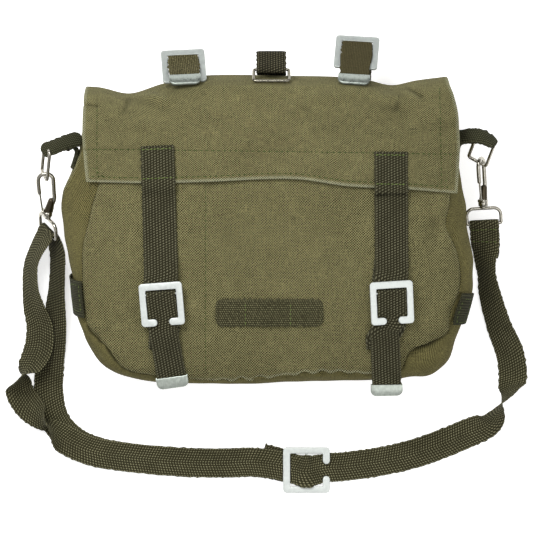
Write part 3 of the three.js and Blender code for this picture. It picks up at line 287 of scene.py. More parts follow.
@dataclass
class Skin:
    """Points, quads, texture places and a value for rubbed edges and painted shading of one piece, gathered
    from several grids.
    """

    points: list[Array] = field(default_factory=list)
    quads: list[Array] = field(default_factory=list)
    places: list[Array] = field(default_factory=list)
    wear: list[Array] = field(default_factory=list)
    count: int = 0

    def grid(
        self,
        points: Array,
        places: Array,
        wear: Array | None = None,
        ring: bool = False,
        loop: bool = False,
    ) -> "Skin":
        """Add a grid of quads.

        Args:
            points: Rows and columns of points.
            places: Texture place of each point in millimetres.
            wear: Rubbing and painted shading of each point: pale over 0 for rubbed edges and painted
                highlights, dark under it for painted shade.
            ring: Whether the last column joins the first.
            loop: Whether the last row joins the first.

        Returns:
            The surface with the grid.
        """
        rows, columns = points.shape[:2]
        i, j = np.meshgrid(np.arange(rows - (not loop)), np.arange(columns - (not ring)), indexing="ij")
        i2, j2 = (i + 1) % rows, (j + 1) % columns
        quads = np.stack([i * columns + j, i2 * columns + j, i2 * columns + j2, i * columns + j2], axis=-1)
        self.points.append(points.reshape(-1, 3))
        self.quads.append(quads.reshape(-1, 4) + self.count)
        self.places.append(places.reshape(-1, 2))
        self.wear.append(np.zeros(rows * columns) if wear is None else wear.reshape(-1))
        self.count += rows * columns
        return self

    def wall(self, outer: Array, inner: Array, places: Array, wear: Array, rims: bool = True) -> "Skin":
        """Add a wall between two surfaces.

        Args:
            outer: Rows and columns of points of the outer surface.
            inner: Points of the inner surface.
            places: Texture place of each point.
            wear: Rubbing and painted shading of each point.
            rims: Whether rims join the two, which they need where they don't meet.

        Returns:
            The surface with the wall.
        """
        self.grid(outer, places, wear)
        self.grid(inner[:, ::-1], places[:, ::-1], wear[:, ::-1])
        for pick in (np.s_[0], np.s_[-1], np.s_[:, 0], np.s_[:, -1]) if rims else ():
            rim = np.stack([outer[pick], inner[pick]])
            self.grid(rim, np.stack([places[pick], places[pick] + CANVAS]), np.stack([wear[pick]] * 2))
        return self

    def build(self, name: str, slot: Slot, body: str = "bag", extra: bool = False) -> Piece:
        """Make the piece and give it its place in the part.

        Args:
            name: Name of the piece: that of its node and one word more.
            slot: Material slot; not used.
            body: Body that it moves with.
            extra: Whether it stands for no node.

        Returns:
            The new object.
        """
        points = np.concatenate(self.points) * MM
        quads = np.concatenate(self.quads)
        mesh = bpy.data.meshes.new(name)
        mesh.vertices.add(len(points))
        mesh.vertices.foreach_set("co", points.astype(np.float32).ravel())
        mesh.loops.add(quads.size)
        mesh.loops.foreach_set("vertex_index", quads.astype(np.int32).ravel())
        mesh.polygons.add(len(quads))
        mesh.polygons.foreach_set("loop_start", np.arange(0, quads.size, 4, dtype=np.int32))
        mesh.polygons.foreach_set("use_smooth", np.ones(len(quads), dtype=bool))
        layer = mesh.uv_layers.new(name="cloth")
        spread = np.concatenate(self.places)[quads.ravel()]
        layer.data.foreach_set("uv", (spread * MM).astype(np.float32).ravel())
        # Store the value for rubbed edges and painted light: over 0 pale for rubbed edges and painted
        # highlights, under 0 painted shade.
        wear = mesh.attributes.new("wear", "FLOAT", "POINT")
        wear.data.foreach_set("value", np.concatenate(self.wear).astype(np.float32))
        mesh.update(calc_edges=True)
        self.close(mesh)
        piece = bpy.data.objects.new(name, mesh)
        bpy.context.scene.collection.objects.link(piece)
        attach(piece, body)
        if not extra:
            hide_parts(name.rpartition("_")[0])
        return piece

    @staticmethod
    def close(mesh: bpy.types.Mesh) -> None:
        """Join the grids' edges, close open ends and turn all faces outwards.

        Args:
            mesh: Mesh to close.
        """
        shape = bmesh.new()
        shape.from_mesh(mesh)
        bmesh.ops.remove_doubles(shape, verts=shape.verts, dist=2e-7)
        open_edges = [edge for edge in shape.edges if edge.is_boundary]
        if open_edges:
            caps = bmesh.ops.holes_fill(shape, edges=open_edges)["faces"]
            bmesh.ops.triangulate(shape, faces=caps)
        bmesh.ops.recalc_face_normals(shape, faces=shape.faces)
        shape.to_mesh(mesh)
        shape.free()


def surface_normals(points: Array) -> Array:
    """Find the outward directions of a grid."""
    return unit(np.cross(np.gradient(points, axis=0), np.gradient(points, axis=1)))


def lay_on(face: Array, normal: Array, x: Array, y: Array) -> tuple[Array, Array]:
    """Lay a line seen from above on a grid, on the plane through the grid's closest point.

    Args:
        face: Rows and columns of points.
        normal: Outward directions of the grid.
        x, y: Places on the bag.

    Returns:
        The line's points and the outward directions at them.
    """
    flat, lean = face.reshape(-1, 3), normal.reshape(-1, 3)
    pick = np.array([np.argmin((flat[:, 0] - a) ** 2 + (flat[:, 1] - b) ** 2) for a, b in zip(x, y)])
    near, up = flat[pick], lean[pick]
    z = near[:, 2] - (up[:, 0] * (x - near[:, 0]) + up[:, 1] * (y - near[:, 1])) / np.maximum(up[:, 2], 0.2)
    return join(x, y, z), up


def fine_edges(count: int, length: float, edge: float = 1.2, extra: int = 4) -> Array:
    """Space shares from 0 to 1 evenly, with more of them close to both ends.

    Args:
        count: Number of even steps.
        length: Length in millimetres that the shares stand for.
        edge: Width in millimetres of the finer end zones.
        extra: Number of finer steps in each end zone.

    Returns:
        The shares in rising order.
    """
    zone = edge / length
    near = zone * (1 - np.cos(np.linspace(0, math.pi / 2, extra + 1)))[:-1]
    middle = np.linspace(zone, 1 - zone, count)
    return np.concatenate([near, middle, 1 - near[::-1]])


def edge_round(shares: Array, length: float, edge: float = 1.2) -> Array:
    """Read the height of a wall with round ends, a quarter circle from 0 at each end to 1 inside."""
    away = np.clip(np.minimum(shares, 1 - shares) * length / edge, 0, 1)
    return np.sqrt(np.clip(1 - (1 - away) ** 2, 0, 1))


class Fold(NamedTuple):
    """Crease pressed into the front panel along a line."""

    start: Pair
    end: Pair
    depth: float
    width: float

    def press(self, x: Array, y: Array) -> Array:
        """Read the crease's depth.

        Args:
            x, y: Places on the bag.

        Returns:
            How far the cloth is pressed in.
        """
        (x0, y0), (x1, y1) = self.start, self.end
        run_x, run_y = x1 - x0, y1 - y0
        t = np.clip(((x - x0) * run_x + (y - y0) * run_y) / (run_x**2 + run_y**2), 0, 1)
        away = np.hypot(x - x0 - t * run_x, y - y0 - t * run_y)
        return self.depth * bell(away, 0, self.width)


class Dent(NamedTuple):
    """Round dent in the front panel, or a bump where its height is positive."""

    x: float
    y: float
    width: float
    length: float
    height: float

    def rise(self, x: Array, y: Array) -> Array:
        """Read the height at places on the bag: a bell across times a bell along."""
        return self.height * bell(x, self.x, self.width) * bell(y, self.y, self.length)


def pressed(folds: Sequence[Fold], x: Array, y: Array) -> Array:
    """Add up how deep creases are at places on the bag."""
    return sum(fold.press(x, y) for fold in folds)


class Station(NamedTuple):
    """Points of sections round the body."""

    outer: Array
    seam: Array
    back: Array
    inward: Array


@dataclass(frozen=True)
class BodyShape:
    """Stuffed body: a domed front over an outline whose sides bulge past the front seam."""

    rim: float = 70.0
    rise: float = 34.0
    half_width: float = 172.0
    width_power: float = 2.6
    centre_y: float = -10.0
    down: float = 128.0
    up: float = 190.0
    length_power: float = 3.0
    back_scale: Pair = (0.91, 0.93)
    shoulder: float = 0.6
    shoulder_rows: Span = (3.5, 7, 21.5, 25)
    corners: tuple[int, int] = (10, 17)
    folds: tuple[Fold, ...] = (
        Fold((-150, -80), (-134, -84), 3, 5),
        Fold((154, -80), (122, -95), 4, 6),
    )
    outline: Run = (
        (-152, 98, -140, 94), (-161.7, 60, -139.5, 62), (-168.5, 43.7, -140.3, 43.7),
        (-172.5, 26, -145.3, 26), (-170.1, 5, -150.6, 5), (-167.2, -11.8, -153.7, -11.8),
        (-162.7, -37, -154.1, -37), (-160.9, -53.8, -152.9, -53.8), (-156.8, -77.3, -148.7, -77.3),
        (-147, -96.6, -134.6, -91), (-127.7, -113.4, -118.5, -110.5), (-97.4, -121.8, -92, -117),
        (-55, -123.5, -55, -120.5), (-3, -123.5, -3, -118.4), (38, -122, 38, -113.8),
        (62, -121.5, 62, -113.4), (89, -121, 89, -115), (115, -119.5, 112, -113.5),
        (142, -113.4, 122, -96), (156.7, -96.6, 138.5, -88.5), (164.2, -77.3, 152.2, -80.5),
        (168, -66.4, 154.6, -66.4), (174.7, -37, 163.8, -37), (173.5, -11.8, 159.6, -11.8),
        (168.6, 5, 152, 5), (168, 26, 153.7, 26), (164.6, 43.7, 155, 43.7),
        (161.3, 60, 155, 62), (153, 98, 148, 94),
    )

    @property
    def last(self) -> int:
        """Number of the last row of the outline."""
        return len(self.outline) - 1

    def front(self, x: Array, y: Array) -> Array:
        """Read the height of the stuffed front without its folds.

        It is the rim and a rise, which falls by one power of the share across and another along.

        Args:
            x, y: Places on the bag.

        Returns:
            Heights over the ground.
        """
        across = 1 - np.minimum(np.abs(x / self.half_width), 1) ** self.width_power
        reach = np.where(y < self.centre_y, self.down, self.up)
        return self.rim + self.rise * across * (1 - np.abs((y - self.centre_y) / reach) ** self.length_power)

    def panel(self, x: Array, y: Array) -> Array:
        """Read the height of the front panel with its folds."""
        return self.front(x, y) - pressed(self.folds, x, y)

    def stations(self, places: Array) -> Station:
        """Find sections round the body.

        Args:
            places: Row numbers of the outline, whole or between two rows.

        Returns:
            The sections' points.
        """
        rows = np.array(self.outline, dtype=float)
        level = np.zeros((len(rows), 1))
        outer_rows = np.hstack([rows[:, :2], level])
        outer = curve_through(outer_rows, places)
        along = heading(outer_rows, places)
        inward = join(-along[:, 1], along[:, 0], 0.0)
        seam = curve_through(np.hstack([rows[:, 2:], level]), places)
        return Station(outer, seam, outer * np.array([*self.back_scale, 0]), inward)

    def gusset(self, places: Array, depth: Array, out: Number, tuck: float = 0.0) -> Array:
        """Find points on the gusset: parabolas from the back edge through the outline to the front seam.

        Args:
            places: Row numbers of the outline.
            depth: Shares from 0 at the back edge to 1 at the front seam.
            out: Distance outside the gusset's outer face.
            tuck: How far the front edge lies below the front panel.

        Returns:
            One row of points for each place.
        """
        at = self.stations(places)
        t = depth[None, :, None]
        control = 2 * at.outer - (at.back + at.seam) / 2
        points = at.back[:, None] * (1 - t) ** 2 + control[:, None] * 2 * t * (1 - t)
        points = points + at.seam[:, None] * t * t
        points = points - at.inward[:, None] * np.broadcast_to(out, points.shape[:2])[..., None]
        high = self.panel(at.seam[:, 0], at.seam[:, 1]) - tuck
        round_off = self.shoulder * plateau(places, *self.shoulder_rows)
        points[..., 2] = (depth + round_off[:, None] * depth**2 * (1 - depth)) * high[:, None]
        return points

    def places(self, side: int, bottom: int) -> Array:
        """Space rows along both sides and the bottom.

        Args:
            side, bottom: Steps along each side and along the bottom.

        Returns:
            Row numbers of the outline.
        """
        left, right = self.corners
        return np.concatenate([
            np.linspace(0, left, side + 1)[:-1],
            np.linspace(left, right, bottom + 1)[:-1],
            np.linspace(right, self.last, side + 1),
        ])

    def fill(self, edge: Array, side: int, bottom: int) -> Array:
        """Fill the outline: straight rows between its sides, bent like the bottom the closer they are to it.

        Args:
            edge: Points along the left side, the bottom and the right side.
            side, bottom: Steps along each side and along the bottom.

        Returns:
            Rows and columns of points, the first row at the mouth.
        """
        left, low, right = edge[: side + 1], edge[side : side + bottom + 1], edge[::-1][: side + 1]
        u = np.linspace(0, 1, bottom + 1)[None, :, None]
        v = np.linspace(0, 1, side + 1)[:, None, None]
        between = left[:, None] * (1 - u) + right[:, None] * u
        return between + v * (low[None] - (low[0] * (1 - u) + low[-1] * u))


BODY = BodyShape()


@dataclass
class FrontPanel:
    """Front wall of the bag, rolled over at its seam and gathered along the bottom."""

    side: int = 150
    bottom: int = 210
    roll: float = 9.0
    drop: float = 3.6
    stitch_x: float = -50.4
    stitch_run: Pair = (38.0, -114.0)
    wide: float = 300.0
    tall: float = 205.0
    side_fade: float = 13.0
    gather_fade: float = 11.0
    gathered: Span = (-70, -20, 95, 120)
    scallop_fade: float = 5.0
    scalloped: Span = (-75, -30, 85, 110)
    creases: tuple[Fold, ...] = (
        Fold((-150, -76), (-140, -86), 2.6, 2.2), Fold((-140, -86), (-122, -103), 0.9, 2.0),
        Fold((118, -90), (112, -108), 0.8, 3.0),
    )
    dents: tuple[Dent, ...] = (
        Dent(143, 4, 9, 12, -4.6), Dent(134, 22, 10, 10, -1.8),
        Dent(118, -101, 12, 8, -1.5), Dent(133, -99, 9, 7, 1.4),
    )
    # Painted shade in the dent beside the right gusset, added to the colour value only.
    pocket_shade: Dent = Dent(141, 10, 6, 7, -0.35)

    def relief(self, x: Array, y: Array, u: Array, v: Array) -> Array:
        """Read the small ups and downs of the cloth.

        Args:
            x, y: Places on the bag.
            u: Shares across the panel.
            v: Shares down the panel.

        Returns:
            Heights to add to the panel.
        """
        soft = 0.55 * ripple(3, x / 130, y / 95) + 0.22 * ripple(4, x / 52, y / 40)
        low = np.exp(-(1 - v) * self.tall / self.gather_fade)
        gathers = low * plateau(x, *self.gathered) * 1.3 * ripple(5, x / 22, y / 70)
        sides = np.exp(-np.minimum(u, 1 - u) * self.wide / self.side_fade) * 0.8 * ripple(6, x / 60, y / 26)
        dents = sum(dent.rise(x, y) for dent in self.dents)
        seam_row = -0.4 * bell(x, self.stitch_x, 1.0)
        return soft + gathers + sides + dents + seam_row - pressed(self.creases, x, y)

    def build(self) -> None:
        """Make the panel: the filled outline at the front's height and relief, less a roll at the seam."""
        places = BODY.places(self.side, self.bottom)
        at = BODY.stations(places)
        edge = at.seam + at.inward * GAP
        flat = BODY.fill(edge, self.side, self.bottom)
        x, y = flat[..., 0], flat[..., 1]
        low = np.hypot(x - x[-1:], y - y[-1:])
        scallop = np.exp(-low / self.scallop_fade) * plateau(x, *self.scalloped)
        y = y + scallop * (0.85 * ripple(7, x / 15) - 1.0)
        u, v = np.linspace(0, 1, self.bottom + 1)[None], np.linspace(0, 1, self.side + 1)[:, None]
        left = np.hypot(x - x[:, :1], y - y[:, :1])
        right = np.hypot(x - x[:, -1:], y - y[:, -1:])
        away = np.minimum(np.minimum(left, right), low)
        rolled = self.drop * np.clip(1 - away / self.roll, 0, 1) ** 2.4 * (1 - 0.45 * scallop)
        points = join(x, y, BODY.panel(x, y) + self.relief(x, y, u, v) - rolled)
        normal = surface_normals(points)
        normal = normal * np.sign(normal[..., 2:].mean())
        # Colour value: paler along the rolled edge and the scalloped bottom rim; painted shade at the panel's
        # very edge, along the stitched groove, in the creases and in the dent.
        wear = 0.3 * bell(away, 1.6, 1.3) - 0.25 * bell(away, 0, 0.5) - 0.3 * bell(x, self.stitch_x, 0.8)
        wear = wear - 0.3 * np.minimum(pressed(self.creases, x, y), 1.5)
        wear = wear + 0.55 * scallop * bell(low, 1.0, 1.1) + self.pocket_shade.rise(x, y)
        skin = Skin().wall(points, points - normal * CANVAS, join(x, y), wear)
        thread = Stitching(3.2, 1.6, 0.6, seed=3)
        line = np.linspace(*self.stitch_run, 120)
        thread.along(*lay_on(points, normal, np.full_like(line, self.stitch_x), line))
        thread.build("front_panel_seam_thread")
        skin.build("front_panel_cloth", Slot.CANVAS)


@dataclass
class Gusset:
    """Strip round both sides and the bottom, bulging between the back and the front seam."""

    side: int = 130
    bottom: int = 150
    deep: int = 64
    tuck: float = 3.4
    calm_rows: Span = (9.5, 11.5, 16.5, 18)
    ridge_run: Span = (20, 36, 60, 78)
    ridge_depth: float = 0.72
    ridge_start: float = 33.0
    ridge_length: float = 29.0
    ridge_slant: float = 0.1
    left_corner: float = 9.3
    right_corner: float = 18.8

    def build(self) -> None:
        """Make the gusset: the body's parabolas, moved out by ripples and a ridge and in by pinches."""
        places = BODY.places(self.side, self.bottom)
        depth = np.linspace(0, 1, self.deep + 1)
        run = run_length(BODY.stations(places).outer)
        s, t = np.meshgrid(run, depth, indexing="ij")
        puff = np.sin(math.pi * t) ** 0.7
        calm = 1 - 0.75 * plateau(places, *self.calm_rows)[:, None]
        relief = calm * puff * (0.9 * ripple(11, s / 60, t * 1.1) + 0.35 * ripple(12, s / 22, t * 1.4))
        line = self.ridge_depth - (s - self.ridge_start) / self.ridge_length * self.ridge_slant
        ridge = bell(t, line, 0.04) * plateau(s, *self.ridge_run)
        relief = relief + 2.2 * ridge
        pinch = -1.2 * (bell(t, 0.94, 0.05) * ripple(13, s / 14, t) ** 2) * 0.35
        outer = BODY.gusset(places, depth, relief + pinch, self.tuck)
        normal = surface_normals(outer)
        facing = np.sum(normal * -BODY.stations(places).inward[:, None], axis=-1)
        normal = normal * np.sign(facing.mean())
        left, right = bell(places, self.left_corner, 1.4), bell(places, self.right_corner, 1.2)
        corner = np.maximum(left, right)[:, None]
        spread = join(s, t * 100)
        # Colour value: paler at the back edge; painted shade along the front seam under the panel's edge,
        # deepest at the corners; painted highlight along the ridge and on the lower-left lobe.
        wear = 0.5 * bell(t, 0.0, 0.02) - (0.25 + 0.6 * corner) * bell(t, 1.0, 0.05) + 0.5 * ridge
        wear = wear + 0.22 * bell(places, self.left_corner, 1.3)[:, None] * bell(t, 0.78, 0.14)
        Skin().wall(outer, outer - normal * CANVAS, spread, wear).build("gusset_cloth", Slot.CANVAS)


@dataclass
class BackPanel:
    """Flat back wall that the bag lies on."""

    side: int = 40
    bottom: int = 60

    def build(self) -> None:
        """Make the panel: the back's filled outline, flat on the ground."""
        at = BODY.stations(BODY.places(self.side, self.bottom))
        flat = BODY.fill(at.back + at.inward * GAP, self.side, self.bottom)
        lift = np.zeros_like(flat)
        lift[..., 2] = CANVAS
        skin = Skin().wall(flat + lift, flat, flat[..., :2], np.zeros(flat.shape[:2]))
        skin.build("back_panel_cloth", Slot.CANVAS)


@dataclass
class Flap:
    """Cover from the back's top edge over the mouth and down over the front."""

    across: int = 230
    along: int = 200
    reach: Table = (
        (-153, 125), (-140, 124), (-114, 119), (-84, 127.5), (-51, 133.5),
        (38, 133.5), (87, 131), (113, 126), (135, 130), (160, 133.5),
    )
    hem: Table = (
        (-153, 45), (-104, 43.7), (-55, 44.5), (22, 47), (69, 41), (119, 38.6), (160, 35.5),
    )
    left: Table = (
        (0, -137), (0.2, -149), (0.5, -152), (0.62, -153), (0.8, -153), (1, -150),
    )
    right: Table = (
        (0, 139), (0.2, 150), (0.5, 154), (0.62, 159.5), (0.8, 162), (1, 160),
    )
    span: Pair = (-153, 162)
    cut: Pair = (312.0, 240.0)
    under_lift: float = 1.6
    hem_row: float = 4.6
    hem_run: Pair = (-146.0, 156.0)
    level_row: Pair = (70.1, 0.0137)
    side_rows: Pair = (-141.0, 145.7)
    groove: float = 1.1
    brow_across: Span = (-56, -44, 34, 46)
    rumpled: Span = (82, 98, 114, 123)
    top_turn: Table = ((5, 0.15), (0, 0.45), (3, 0.75))
    front_start: Pair = (12.0, 28.0)
    front_drop: float = 5.0
    top_share: float = 0.5
    brow: float = 123.5
    creases: tuple[Fold, ...] = (
        Fold((-154, 110.5), (-141, 108.6), 1.5, 1.3), Fold((-113, 121), (-119, 103), 1.3, 3.2),
        Fold((104, 130.5), (130, 116.5), 2.4, 1.5), Fold((104, 127), (128, 113.5), -1.2, 2.0),
        Fold((113, 127), (109, 108), 1.0, 3.6), Fold((-128, 118), (-96, 121), -1.0, 3.0),
        Fold((-108, 121), (-84, 113), -1.2, 3.0), Fold((-112, 115), (-84, 106), 0.9, 4.5),
        Fold((66, 118), (116, 103), 0.9, 6.0), Fold((60, 127), (106, 114), -0.8, 5.0),
    )
    rows: tuple[Table, ...] = (
        ((-149, 72.2), (157, 68)), ((-141, 106), (-141, 50)), ((145, 124), (146.5, 43)),
        ((-145, 57), (-135, 48.7)), ((151, 47), (141, 41)),
    )

    def level(self, x: Number, y: Number) -> Number:
        """Read the height of the middle of the flap's wall on the front."""
        return BODY.front(x, y) + FLAP_LIFT + FLAP_WALL / 2

    def strip(self, x: float, reach: float, hem: float, shares: Array) -> Array:
        """Follow the flap by a smooth curve from the back seam over the top edge to the lower edge.

        Args:
            x: Place across the bag.
            reach: Where the strip turns over the top edge.
            hem: Where the strip ends.
            shares: Shares along the strip's length.

        Returns:
            One point for each share.
        """
        back_y = BODY.outline[0][1] * BODY.back_scale[1] + GAP
        half = FLAP_WALL / 2
        near, far = self.front_start
        ys = np.array([reach - near, *np.linspace(reach - far, hem, 5)])
        heights = self.level(x, ys)
        heights[0] -= self.front_drop
        ridge = self.level(x, reach)
        inset, share = np.array(self.top_turn).T
        low_y = [back_y, (back_y + reach) / 2, *(reach - inset)]
        low = join(x, low_y, [half, half + self.under_lift, *(share * ridge)])
        rows = np.vstack([low, join(x, ys, heights)])
        dense = curve_through(rows, np.linspace(0, len(rows) - 1, 160))
        run = run_length(dense)
        return read_along(run, dense, shares * run[-1])

    def relief(self, x: Array, y: Array, t: Array) -> Array:
        """Read the small ups and downs of the cloth.

        Args:
            x, y: Places on the bag.
            t: Shares along the flap, 0 at the back seam and 1 at the lower edge.

        Returns:
            Heights to add along the outward direction.
        """
        front = ease(t, self.top_share, 0.62)
        soft = 0.5 * ripple(21, x / 90, y / 60) + 0.22 * ripple(22, x / 34, y / 30)
        row = -0.4 * self.sewn(x, y) - 0.35 * bell(y - graph_through(self.hem, x), self.hem_row, 1.0)
        ridge = 0.9 * bell(y, self.brow, 1.9) * plateau(x, *self.brow_across)
        ridge = ridge + 0.9 * ripple(23, x / 52, y / 17) * plateau(y, *self.rumpled)
        return soft * (0.4 + 0.6 * front) + (row + ridge - pressed(self.creases, x, y)) * front

    def sewn(self, x: Array, y: Array) -> Array:
        """Read how close the long rows of stitches are.

        Args:
            x, y: Places on the bag.

        Returns:
            Shares, 1 on a row.
        """
        place, slope = self.level_row
        left, right = (bell(x, side, self.groove) for side in self.side_rows)
        return np.maximum(bell(y + slope * x, place, self.groove), np.maximum(left, right))

    def build(self) -> None:
        """Make the flap: strips side by side, moved by the relief and given a wall with round edges."""
        wide, long = self.cut
        u, shares = fine_edges(self.across, wide), fine_edges(self.along, long)
        xs = self.span[0] + (self.span[1] - self.span[0]) * u
        strips = np.stack([
            self.strip(x, reach, hem, shares)
            for x, reach, hem in zip(xs, graph_through(self.reach, xs), graph_through(self.hem, xs))
        ])
        left, right = graph_through(self.left, shares), graph_through(self.right, shares)
        strips[..., 0] = left[None] * (1 - u[:, None]) + right[None] * u[:, None]
        normal = surface_normals(strips)
        normal *= np.sign(normal[len(u) // 2, -20, 2])
        x, y = strips[..., 0], strips[..., 1]
        t = np.broadcast_to(shares[None], x.shape)
        middle = strips + normal * self.relief(x, y, t)[..., None]
        thick = FLAP_WALL * edge_round(u, wide)[:, None] * edge_round(shares, long)[None]
        half = (thick / 2)[..., None] * normal
        front = t > self.top_share
        edge = np.minimum(np.minimum(u, 1 - u)[:, None] * wide, np.where(front, (1 - t) * long, 60))
        # Colour value: pale rubbed band along the edges; painted shade along the hem and the long stitched
        # grooves and in the creases; painted highlight on the raised creases; slightly paler over the hem
        # band.
        wear = 0.5 * (1 - ease(edge, 2.4, 4.2)) + 0.4 * bell(edge, 0.3, 1.0)
        wear = wear - 0.3 * bell(edge, self.hem_row, 0.6)
        wear = wear - 0.3 * np.clip(pressed(self.creases, x, y), -0.8, 1.6) * ease(t, 0.45, 0.55)
        hem_band = 1 - ease(y + self.level_row[1] * x, 69, 71)
        wear = wear + ease(t, self.top_share, 0.55) * (0.13 * hem_band - 0.28 * self.sewn(x, y))
        spread = join(x, -shares[None] * long)
        skin = Skin().wall(middle + half, middle - half, spread, wear, rims=False)
        flap = skin.build("flap_cloth", Slot.CANVAS)
        self.sew((middle + half)[:, front[0]], normal[:, front[0]])
        length = float(np.mean([run_length(strip)[-1] for strip in strips[::12]])) * MM

    def sew(self, face: Array, normal: Array) -> None:
        """Sew the rows of stitches on the flap's front.

        Args:
            face: Points of the outer face.
            normal: Outward directions at them.
        """
        thread = Stitching(3.2, 1.6, 0.75, seed=4)
        for (x0, y0), (x1, y1) in self.rows:
            count = int(math.hypot(x1 - x0, y1 - y0)) + 2
            thread.along(*lay_on(face, normal, np.linspace(x0, x1, count), np.linspace(y0, y1, count)))
        x = np.linspace(*self.hem_run, 160)
        thread.along(*lay_on(face, normal, x, graph_through(self.hem, x) + self.hem_row))
        thread.build("flap_seam_thread")


FLAP = Flap()


class Rows(NamedTuple):
    """Rows of a strap: its centre line and the direction of its width."""

    at: Array
    across: Array

    def then(self, *others: "Rows") -> "Rows":
        """Join rows, turning a width round where it points against the row before.

        Args:
            others: Rows that follow.

        Returns:
            All rows in order.
        """
        at = np.vstack([self.at, *(other.at for other in others)])
        across = np.vstack([self.across, *(other.across for other in others)]).copy()
        for k in range(1, len(across)):
            if np.dot(across[k], across[k - 1]) < 0:
                across[k] *= -1
        return Rows(at, across)


class Trace(NamedTuple):
    """Fine samples along a strap."""

    centre: Array
    across: Array
    up: Array
    run: Array


@dataclass
class Ribbon:
    """Flat webbing along rows, with rounded selvedges."""

    rows: Rows
    width: float = NARROW_WEB
    steps: int = 8
    columns: int = 15
    seed: int = 1
    fray: float = 0.22
    thick: float = WEB
    corner: float = 0.0
    belly: float = 7.0
    selvedge: float = 0.6
    bulge: Triple = (0.0, 1.0, 0.0)
    shade: Triple = (0.0, 1.0, 0.0)

    def trace(self) -> Trace:
        """Sample the strap finely.

        Returns:
            The samples.
        """
        count = len(self.rows.at) - 1
        places = np.linspace(0, count, count * self.steps + 1)
        centre = curve_through(self.rows.at, places)
        along = tangents(centre)
        across = curve_through(self.rows.across, places)
        across = unit(across - along * np.sum(across * along, axis=1, keepdims=True))
        return Trace(centre, across, np.cross(across, along), run_length(centre))

    def skin(self, skin: Skin | None = None) -> Skin:
        """Make the strap's surface: a flat oval carried along the samples.

        Args:
            skin: Surface to add to.

        Returns:
            The surface.
        """
        trace = self.trace()
        skin = skin or Skin()
        a = np.sin(np.linspace(-math.pi / 2, math.pi / 2, self.columns))
        rise = (self.thick / 2) * np.sqrt(np.clip(1 - np.abs(a) ** self.belly, 0, 1))
        rise[[0, -1]] = 0
        run = trace.run
        waver = self.fray * (ripple(self.seed, run / 5) + 0.5 * ripple(self.seed + 1, run / 1.9))
        other = self.fray * (ripple(self.seed + 2, run / 5) + 0.5 * ripple(self.seed + 3, run / 1.9))
        edge = np.clip((np.abs(a)[None] - self.selvedge) / (1 - self.selvedge), 0, 1)
        shift = edge * np.where(a[None] > 0, waver[:, None], -other[:, None])
        offset = a[None] * self.width / 2 + shift - 0.2 * np.sign(a)[None] * edge
        middle, reach, more = self.bulge
        offset = offset * (1 + more / self.width * bell(run, middle, reach))[:, None]
        if self.corner:
            near = np.clip(1 - np.minimum(run, run[-1] - run) / self.corner, 0, 1)
            offset = offset * (1 - self.corner * (1 - np.sqrt(1 - near**2)) / (self.width / 2))[:, None]
        flat = trace.centre[:, None] + trace.across[:, None] * offset[..., None]
        lift = trace.up[:, None] * rise[None, :, None]
        spread = join(offset, run[:, None])
        start, end, dim = self.shade
        near_end = 1 - ease(np.minimum(run, run[-1] - run), start, end)
        wear = 0.6 * bell(np.abs(a), 1, 0.16)[None] - dim * near_end[:, None]
        loop = np.concatenate([flat + lift, (flat - lift)[:, -2:0:-1]], axis=1)
        spread = np.concatenate([spread, spread[:, -2:0:-1] + np.array([self.width, 0])], axis=1)
        wear = np.concatenate([wear, wear[:, -2:0:-1]], axis=1)
        return skin.grid(loop[::-1], spread[::-1], wear[::-1], ring=True)

    def build(self, name: str) -> Piece:
        """Make the strap."""
        return self.skin().build(name, Slot.WEBBING)

    def run_at(self, point: Array) -> float:
        """Find the way along the strap to its place next to a point."""
        trace = self.trace()
        return float(trace.run[np.argmin(np.linalg.norm(trace.centre - point, axis=1))])

    def seam(self, run: float, inset: float = 1.6, count: int = 40) -> tuple[Array, Array]:
        """Find a line of stitches across the strap's upper face.

        Args:
            run: Distance along the strap.
            inset: Distance from the selvedges.
            count: Number of points.

        Returns:
            The line's points and the outward directions at them.
        """
        trace = self.trace()
        k = int(np.argmin(np.abs(trace.run - run)))
        a = np.linspace(-self.width / 2 + inset, self.width / 2 - inset, count)
        up = trace.up[k] * np.sign(trace.up[k][2])
        points = trace.centre[k] + trace.across[k] * a[:, None] + up * self.thick / 2
        return points, np.broadcast_to(up, points.shape)


def tube(skin: Skin, points: Array, radius: Number, sides: int = 14, loop: bool = False) -> Skin:
    """Add a round wire: a circle carried along points, with smaller ones for the domes at open ends.

    Args:
        skin: Surface to add to.
        points: Points of the wire's centre line.
        radius: Radius at each point or one for all.
        sides: Number of sides.
        loop: Whether the wire closes on itself.

    Returns:
        The surface with the wire.
    """
    if loop:
        along = unit(np.roll(points, -1, axis=0) - np.roll(points, 1, axis=0))
    else:
        along = tangents(points)
    spin = np.linalg.svd(points - points.mean(axis=0))[2][2]
    side = unit(np.cross(along, spin))
    other = np.cross(along, side)
    angle = np.linspace(0, 2 * math.pi, sides, endpoint=False)
    size = np.broadcast_to(radius, len(points)).astype(float)
    centres = points
    if not loop:
        caps = np.array(DOME)
        back = -np.sqrt(1 - caps**2)[:, None] * DOME_DEPTH
        first, last = along[0] * back * size[0], along[-1] * back[::-1] * size[-1]
        centres = np.vstack([points[0] + first, points, points[-1] - last])
        side, other = (np.pad(part, ((len(caps), len(caps)), (0, 0)), mode="edge") for part in (side, other))
        size = np.concatenate([caps * size[0], size, caps[::-1] * size[-1]])
    ring = side[:, None] * np.cos(angle)[None, :, None] + other[:, None] * np.sin(angle)[None, :, None]
    grid = centres[:, None] + ring * size[:, None, None]
    run = run_length(centres)
    spread = join(angle * 2, run[:, None])
    return skin.grid(grid[:, ::-1], spread[:, ::-1], ring=True, loop=loop)


